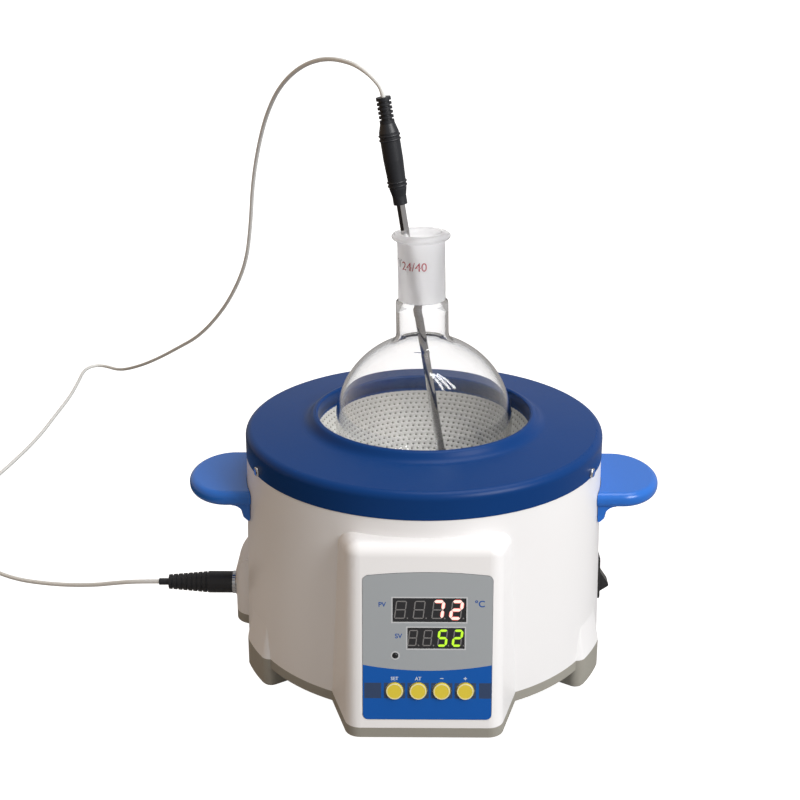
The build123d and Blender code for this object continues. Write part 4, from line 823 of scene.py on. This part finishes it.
print("bowl profile:", round(float(ARC_LENGTH + SLOPE_LENGTH), 1), "mm long")

# %% [markdown]
# The cloth is off-white and quite matt. Its pits are dark because little light gets into
# them: a pit attribute, made with the surface in the next cell, carries that shade.

# %% Glass-fibre cloth
PIT_COLOUR, SHADE_FROM, SHADE_FULL = (0.085, 0.078, 0.06), 0.35, 0.85
knitted = finish("knitted_glass_cloth", (0.40, 0.395, 0.37), (0.47, 0.465, 0.44), (0.75, 0.95),
                 grain=(1300.0, 1.0, 0.10), drift=(60.0, 0.9))
cloth_tree = knitted.node_tree
cloth_base = cloth_tree.nodes["Principled BSDF"].inputs["Base Color"]
cloth_colour = cloth_base.links[0].from_socket
pit_value = cloth_tree.nodes.new("ShaderNodeAttribute")
pit_value.attribute_name = "pit"
pit_shade = cloth_tree.nodes.new("ShaderNodeMapRange")
pit_shade.interpolation_type = "SMOOTHSTEP"
pit_shade.inputs["From Min"].default_value = SHADE_FROM
pit_shade.inputs["From Max"].default_value = SHADE_FULL
pit_mix = cloth_tree.nodes.new("ShaderNodeMix")
pit_mix.data_type = "RGBA"
pit_mix.inputs["B"].default_value = (*PIT_COLOUR, 1)
cloth_tree.links.new(pit_value.outputs["Fac"], pit_shade.inputs["Value"])
cloth_tree.links.new(pit_shade.outputs["Result"], pit_mix.inputs["Factor"])
cloth_tree.links.new(cloth_colour, pit_mix.inputs["A"])
cloth_tree.links.new(pit_mix.outputs["Result"], cloth_base)
print("cloth nodes:", len(cloth_tree.nodes))

# %% [markdown]
# The inner face is sunk by a pit at every point of the lattice, and a little by the loops of
# the yarn between them. The outer face is hidden in the pot and needs no weave. A point at
# the pole of each face closes it, so the bowl is a solid cloth.

# %% Woven bowl
PIT_PITCH, ROW_PITCH, PIT_DEPTH = 3.7, 3.1, 0.7
PIT_WIDE, PIT_TALL, YARN_LOOP, CLOTH_SINK = 0.95, 0.8, 0.10, 0.1
BOWL_ROWS, BOWL_AROUND, BOTTOM_GAP, RIM_GAP = 186, 468, 0.8, 1.0
FADE_FROM, FADE_LENGTH = 2.0, 6.0


def turned(radius, height, turn):
    """Points round the upright axis: x = r cos t, y = r sin t, z = height."""
    x, y = radius * np.cos(turn), radius * np.sin(turn)
    return np.stack(np.broadcast_arrays(x, y, height), axis=-1)


def pit_field(s, turn):
    """Pit = exp(-(d / wide)^2 - (h / tall)^2), where d is the way along the row to the nearest
    point of the lattice and h the way down the slope, and the loops of yarn between pits."""
    row = np.round(s / ROW_PITCH)
    row_radius = np.maximum(bowl_profile(row * ROW_PITCH, 0.0)[0], 1.0)
    count = np.maximum(np.round(2 * np.pi * row_radius / PIT_PITCH), 3)
    phase = (row % 2) * 0.5
    place = turn[None, :] / (2 * np.pi) * count[:, None] + phase[:, None]
    sideways = (place - np.round(place)) * PIT_PITCH
    lengthways = (s - row * ROW_PITCH)[:, None]
    pit = np.exp(-((sideways / PIT_WIDE) ** 2) - (lengthways / PIT_TALL) ** 2)
    yarn = YARN_LOOP * np.cos(4 * np.pi * place) * np.cos(2 * np.pi * lengthways / ROW_PITCH)
    return pit, yarn


def woven_bowl(name):
    """Inner face: profile grid, sunk by depth x pit + yarn, which fades out at the bottom.
    Outer face: the flange, then the same profile moved out by the cloth's thickness."""
    length = ARC_LENGTH + SLOPE_LENGTH - RIM_GAP
    s = np.linspace(BOTTOM_GAP, length, BOWL_ROWS)
    turn = np.linspace(0, 2 * np.pi, BOWL_AROUND, endpoint=False)
    pit, yarn = pit_field(s, turn)
    fade = np.clip((s - FADE_FROM) / FADE_LENGTH, 0, 1)[:, None]
    sink = (PIT_DEPTH * pit + CLOTH_SINK + yarn) * fade + CLOTH_SINK
    inner = turned(*bowl_profile(s[:, None], sink), turn)

    low, tall = bowl_profile(np.linspace(length, BOTTOM_GAP, 14), CLOTH)
    flange = np.array([
        (RIM_R + 0.6, RIM_Z - 0.15), (RIM_R + 2, RIM_Z - 0.02), (FLANGE_R - 0.8, RIM_Z - 0.02),
        (FLANGE_R, RIM_Z - 0.6), (FLANGE_R, RIM_Z - 2.0), (FLANGE_R - 0.8, RIM_Z - 2.5),
        (RIM_R + 3.5, RIM_Z - 2.5),
    ])
    line = np.concatenate([flange, np.stack([low, tall], axis=1)[1:]])
    grid = np.concatenate([inner, turned(line[:, :1], line[:, 1:], turn)])
    poles = [[0, 0, BOWL_Z - BALL_R], [0, 0, BOWL_Z - BALL_R - CLOTH]]
    points = np.concatenate([grid.reshape(-1, 3), poles]) * mm

    index, ahead, quads = round_rows(len(grid), BOWL_AROUND)
    in_pole, out_pole = index.size, index.size + 1
    bottom = [(in_pole, after, here) for here, after in zip(index[0], ahead[0])]
    below = [(out_pole, here, after) for here, after in zip(index[-1], ahead[-1])]
    faces = quads[:-1].reshape(-1, 4).tolist() + bottom + below
    piece = add_mesh(name, points, faces, knitted)
    depth = np.zeros(len(points))
    depth[: pit.size] = (pit * fade).ravel()
    piece.data.attributes.new("pit", "FLOAT", "POINT").data.foreach_set("value", depth)
    piece.data.shade_smooth()
    return piece


bowl_cloth = woven_bowl("woven_bowl")
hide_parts("heating_bowl")
print("woven bowl faces:", len(bowl_cloth.data.polygons))

# %% [markdown]
# The cover's sheet is rolled up into a lip round the opening. Its section is a short closed
# loop: up from the cover's face, over the rim, down the opening and back inside the sheet.
# Its foot lies along the cover's own slope, so no step shows where the two meet.

# %% Rolled lip of the cover
OPENING_R, COVER_TOP, LIP_RISE, LIP_W, LIP_FOOT, SHEET = 64.5, 151.4, 4.8, 2.8, 4.0, 1.2
COVER_FALL = 3.4 / 44.0  # the cover's face falls from the opening to its edge
LIP_TAIL, LIP_DROP = 8.0, 4.0  # past the foot, and down the opening
SKIN_ROUNDS, CORE_ROUNDS, LIP_AROUND = (3.2, 1.6, 1.35), (0.3, 0.7, 1.5), 256


def rounded_line(corners, radii, count=9):
    """Each inner corner becomes a parabola: (1-t)^2 a + 2t(1-t) c + t^2 b, with a and b its
    radius away from the corner c along both sides."""
    corners = [np.array(c, float) for c in corners]
    line = [corners[0]]
    for before, c, after, radius in zip(corners, corners[1:], corners[2:], radii):
        a = c + radius * (before - c) / np.linalg.norm(before - c)
        b = c + radius * (after - c) / np.linalg.norm(after - c)
        steps = np.linspace(0, 1, count)
        line += [(1 - t) ** 2 * a + 2 * t * (1 - t) * c + t**2 * b for t in steps]
    return np.array(line + [corners[-1]])


def lip_section():
    """The lip's outside from the cover inwards, then its inside back, a sheet's thickness in."""
    crest = OPENING_R + LIP_W
    foot = crest + LIP_FOOT
    tail, top = foot + LIP_TAIL, COVER_TOP + LIP_RISE
    foot_z = COVER_TOP - COVER_FALL * (foot - OPENING_R)
    tail_z = COVER_TOP - COVER_FALL * (tail - OPENING_R) - 0.05
    skin = [(tail, tail_z), (foot, foot_z + 0.04), (crest, top), (OPENING_R, top),
            (OPENING_R, COVER_TOP - LIP_DROP)]
    core = [(OPENING_R + SHEET, COVER_TOP - LIP_DROP), (OPENING_R + SHEET, top - SHEET),
            (crest - 0.4, top - SHEET), (foot - 0.4, foot_z - SHEET), (tail, tail_z - 0.2)]
    outside, inside = rounded_line(skin, SKIN_ROUNDS), rounded_line(core, CORE_ROUNDS)
    return np.concatenate([outside, inside])


def cover_lip(name):
    """The section turned round the axis. It runs inwards over the top, the other way round
    from the bowl's, so its quads are turned over to face outwards."""
    section = lip_section()
    turn = np.linspace(0, 2 * np.pi, LIP_AROUND, endpoint=False)
    points = turned(section[:, :1], section[:, 1:], turn) * mm
    quads = round_rows(len(section), LIP_AROUND)[2][..., [0, 3, 2, 1]].reshape(-1, 4).tolist()
    piece = add_mesh(name, points.reshape(-1, 3), quads, blue_paint)
    piece.data.shade_smooth()
    return piece


print("lip faces:", len(cover_lip("cover_lip").data.polygons))

# %% [markdown]
# Clear glass passes nearly all light. The shader's own transmission does that, so the ball
# shows bright and dark rims. The joint is ground: its tiny facets scatter the light, which
# is a high roughness, and a little of it comes back as white.

# %% Flask glass
def glass(name, tint, rough, passes, index=1.40):
    """Glass with a tint, a roughness, the share of light that passes and its refraction index."""
    material = bpy.data.materials.new(name)
    material.use_nodes = True
    shader = material.node_tree.nodes["Principled BSDF"]
    shader.inputs["Base Color"].default_value = (*tint, 1)
    shader.inputs["Roughness"].default_value = rough
    shader.inputs["IOR"].default_value = index
    shader.inputs["Transmission Weight"].default_value = passes
    return material


clear_glass = glass("clear_glass", (0.90, 0.90, 0.905), 0.01, 1.0)
ground_glass = glass("ground_glass", (0.97, 0.97, 0.98), 0.50, 0.72)
dress(ground_glass, "flask_joint")

# %% [markdown]
# The flask is blown, so its wall is even: the inside follows the outside at the wall's
# thickness, also through the fillet between ball and neck. That fillet's centre lies where a
# circle touches both: at radius neck + f, and at height sqrt((ball + f)^2 - (neck + f)^2).
# Its ball sits 5 mm higher in the cloth than in the solids and is 1.3 mm larger all round.

# %% Flask
FLASK_R, WALL, NECK_R, NECK_BLEND, JOINT_R, JOINT_NARROW_R = 53.8, 2.0, 15.7, 7.0, 14.1, 10.0
SOLID_BALL_Z, SEAM_RISE, BALL_RISE, FLASK_LEAN = 144.3, 82.2, 5.0, radians(1.13)
FLASK_AROUND, POLE_GAP = 160, 0.02
solid_ball = np.array([0, 0, SOLID_BALL_Z])
flask_axis = np.array([-np.sin(FLASK_LEAN), 0, np.cos(FLASK_LEAN)])
flask_side = np.array([np.cos(FLASK_LEAN), 0, np.sin(FLASK_LEAN)])
flask_back = np.array([0, 1.0, 0])


def flask_line(inset):
    """Radius and rise from the bottom of the ball to the neck, moved in by the inset."""
    reach = NECK_R + NECK_BLEND
    climb = np.sqrt((FLASK_R + NECK_BLEND) ** 2 - reach**2)
    meet = np.arctan2(climb, reach)
    ball = np.linspace(-np.pi / 2 + POLE_GAP, meet, 110)
    blend = np.linspace(meet + np.pi, np.pi, 22)[1:]
    on_ball = (FLASK_R - inset) * np.stack([np.cos(ball), np.sin(ball)], axis=1)
    on_blend = (NECK_BLEND + inset) * np.stack([np.cos(blend), np.sin(blend)], axis=1)
    return np.concatenate([on_ball, on_blend + (reach, climb)]) + (0, BALL_RISE)


def flask_section():
    """Up the outside to the neck, in over the seam with the joint, and down the inside."""
    inner_r = NECK_R - WALL
    outside = [(NECK_R, -2.4), (NECK_R - 0.3, -1.4), (JOINT_R + 0.1, -0.15), (JOINT_R - 0.1, -0.03)]
    inside = [(JOINT_NARROW_R, -0.03), (JOINT_NARROW_R + 0.2, -0.5), (inner_r - 0.3, -6.4),
              (inner_r, -7.6)]
    seam = np.array(outside + inside) + (0, SEAM_RISE)
    return np.concatenate([flask_line(0.0), seam, flask_line(WALL)[::-1]])


def blown_flask(name):
    """The section turned about the leaning axis: C + rise axis + r (cos t side + sin t back)."""
    line = flask_section()
    turn = np.linspace(0, 2 * np.pi, FLASK_AROUND, endpoint=False)[:, None]
    ring = np.cos(turn) * flask_side + np.sin(turn) * flask_back
    grid = solid_ball + line[:, None, 1:] * flask_axis + line[:, None, :1] * ring
    drop = BALL_RISE - FLASK_R
    poles = solid_ball + np.array([[drop], [drop + WALL]]) * flask_axis
    points = np.concatenate([grid.reshape(-1, 3), poles]) * mm
    index, ahead, quads = round_rows(len(line), FLASK_AROUND)
    out_pole, in_pole = index.size, index.size + 1
    below = [(out_pole, after, here) for here, after in zip(index[0], ahead[0])]
    bottom = [(in_pole, here, after) for here, after in zip(index[-1], ahead[-1])]
    faces = quads[:-1].reshape(-1, 4).tolist() + below + bottom
    piece = add_mesh(name, points, faces, clear_glass)
    piece.data.shade_smooth()
    return piece


flask_body = blown_flask("flask_body")
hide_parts("flask")
print("flask faces:", len(flask_body.data.polygons))

# %% [markdown]
# The ball is raised, so the probe's stem would pass through its wall. The stem keeps its CAD
# mesh, but the last stretch of it closes up along its own tilted line.

# %% Probe rod
STEM_TILT, STEM_SHORTER = radians(9.2), 4.4 * mm
CLOSING_TOP, CLOSING_LENGTH = 0.130, 0.030


def shortened_stem(name):
    """Point + shorter x share x direction, where the share grows from 0 to 1 down the last
    stretch of the stem."""
    solid = nodes["probe_stem"]
    mesh = solid.data.copy()
    points = np.empty(len(mesh.vertices) * 3)
    mesh.vertices.foreach_get("co", points)
    world_matrix = np.array(solid.matrix_world)
    points = points.reshape(-1, 3) @ world_matrix[:3, :3].T + world_matrix[:3, 3]
    share = np.clip((CLOSING_TOP - points[:, 2:]) / CLOSING_LENGTH, 0, 1)
    points = points + STEM_SHORTER * share * np.array([-np.sin(STEM_TILT), 0, np.cos(STEM_TILT)])
    mesh.vertices.foreach_set("co", points.ravel())
    mesh.update()
    return make_piece(name, mesh, polished)


probe_rod = shortened_stem("probe_rod")
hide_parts("probe_stem")
print("probe rod:", len(probe_rod.data.vertices), "points")

# %% [markdown]
# The joint's size is printed on it in red. Its letters are a flat text mesh rolled round the
# neck: u becomes an angle u / R about the flask's axis and v stays a height along it.

# %% Size mark on the joint
INK_RISE, MARK_TALL = 0.06, 5.0


def neck_mark(name, text, u, rise, material):
    """Point = C + rise * axis + R * (sin(u / R) across - cos(u / R) back)."""
    mesh, points = flat_text(name, text, MARK_TALL)
    turn = ((u + points[:, 0]) / JOINT_R)[:, None]
    reach = JOINT_R + INK_RISE
    placed = solid_ball + (rise + points[:, 1])[:, None] * flask_axis
    placed = placed + reach * (np.sin(turn) * flask_side - np.cos(turn) * flask_back)
    mesh.vertices.foreach_set("co", (placed * mm).ravel())
    mesh.update()
    return make_piece(name, mesh, material)


red_ink = finish("red_ink", (0.34, 0.04, 0.06), (0.42, 0.05, 0.07), (0.4, 0.5))
size_mark = neck_mark("mark_joint_size", "24/40", -4.9, 104.6, red_ink)
neck_mark("mark_taper_sign", "T", -15.2, 105.6, black_rubber)
print("size mark faces:", len(size_mark.data.polygons))

# %% [markdown]
# Each lamp lights its own share of the pieces, so the pieces are sorted here, once all are
# made. The glass casts no shadow: clear glass hardly does, and the one that Blender would
# trace is nearly black.

# %% Sort the pieces for the lamps
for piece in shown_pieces():
    is_glass = piece.name.startswith("flask")
    (glass_pieces if is_glass else mantle_pieces).objects.link(piece)
    piece.visible_shadow = not is_glass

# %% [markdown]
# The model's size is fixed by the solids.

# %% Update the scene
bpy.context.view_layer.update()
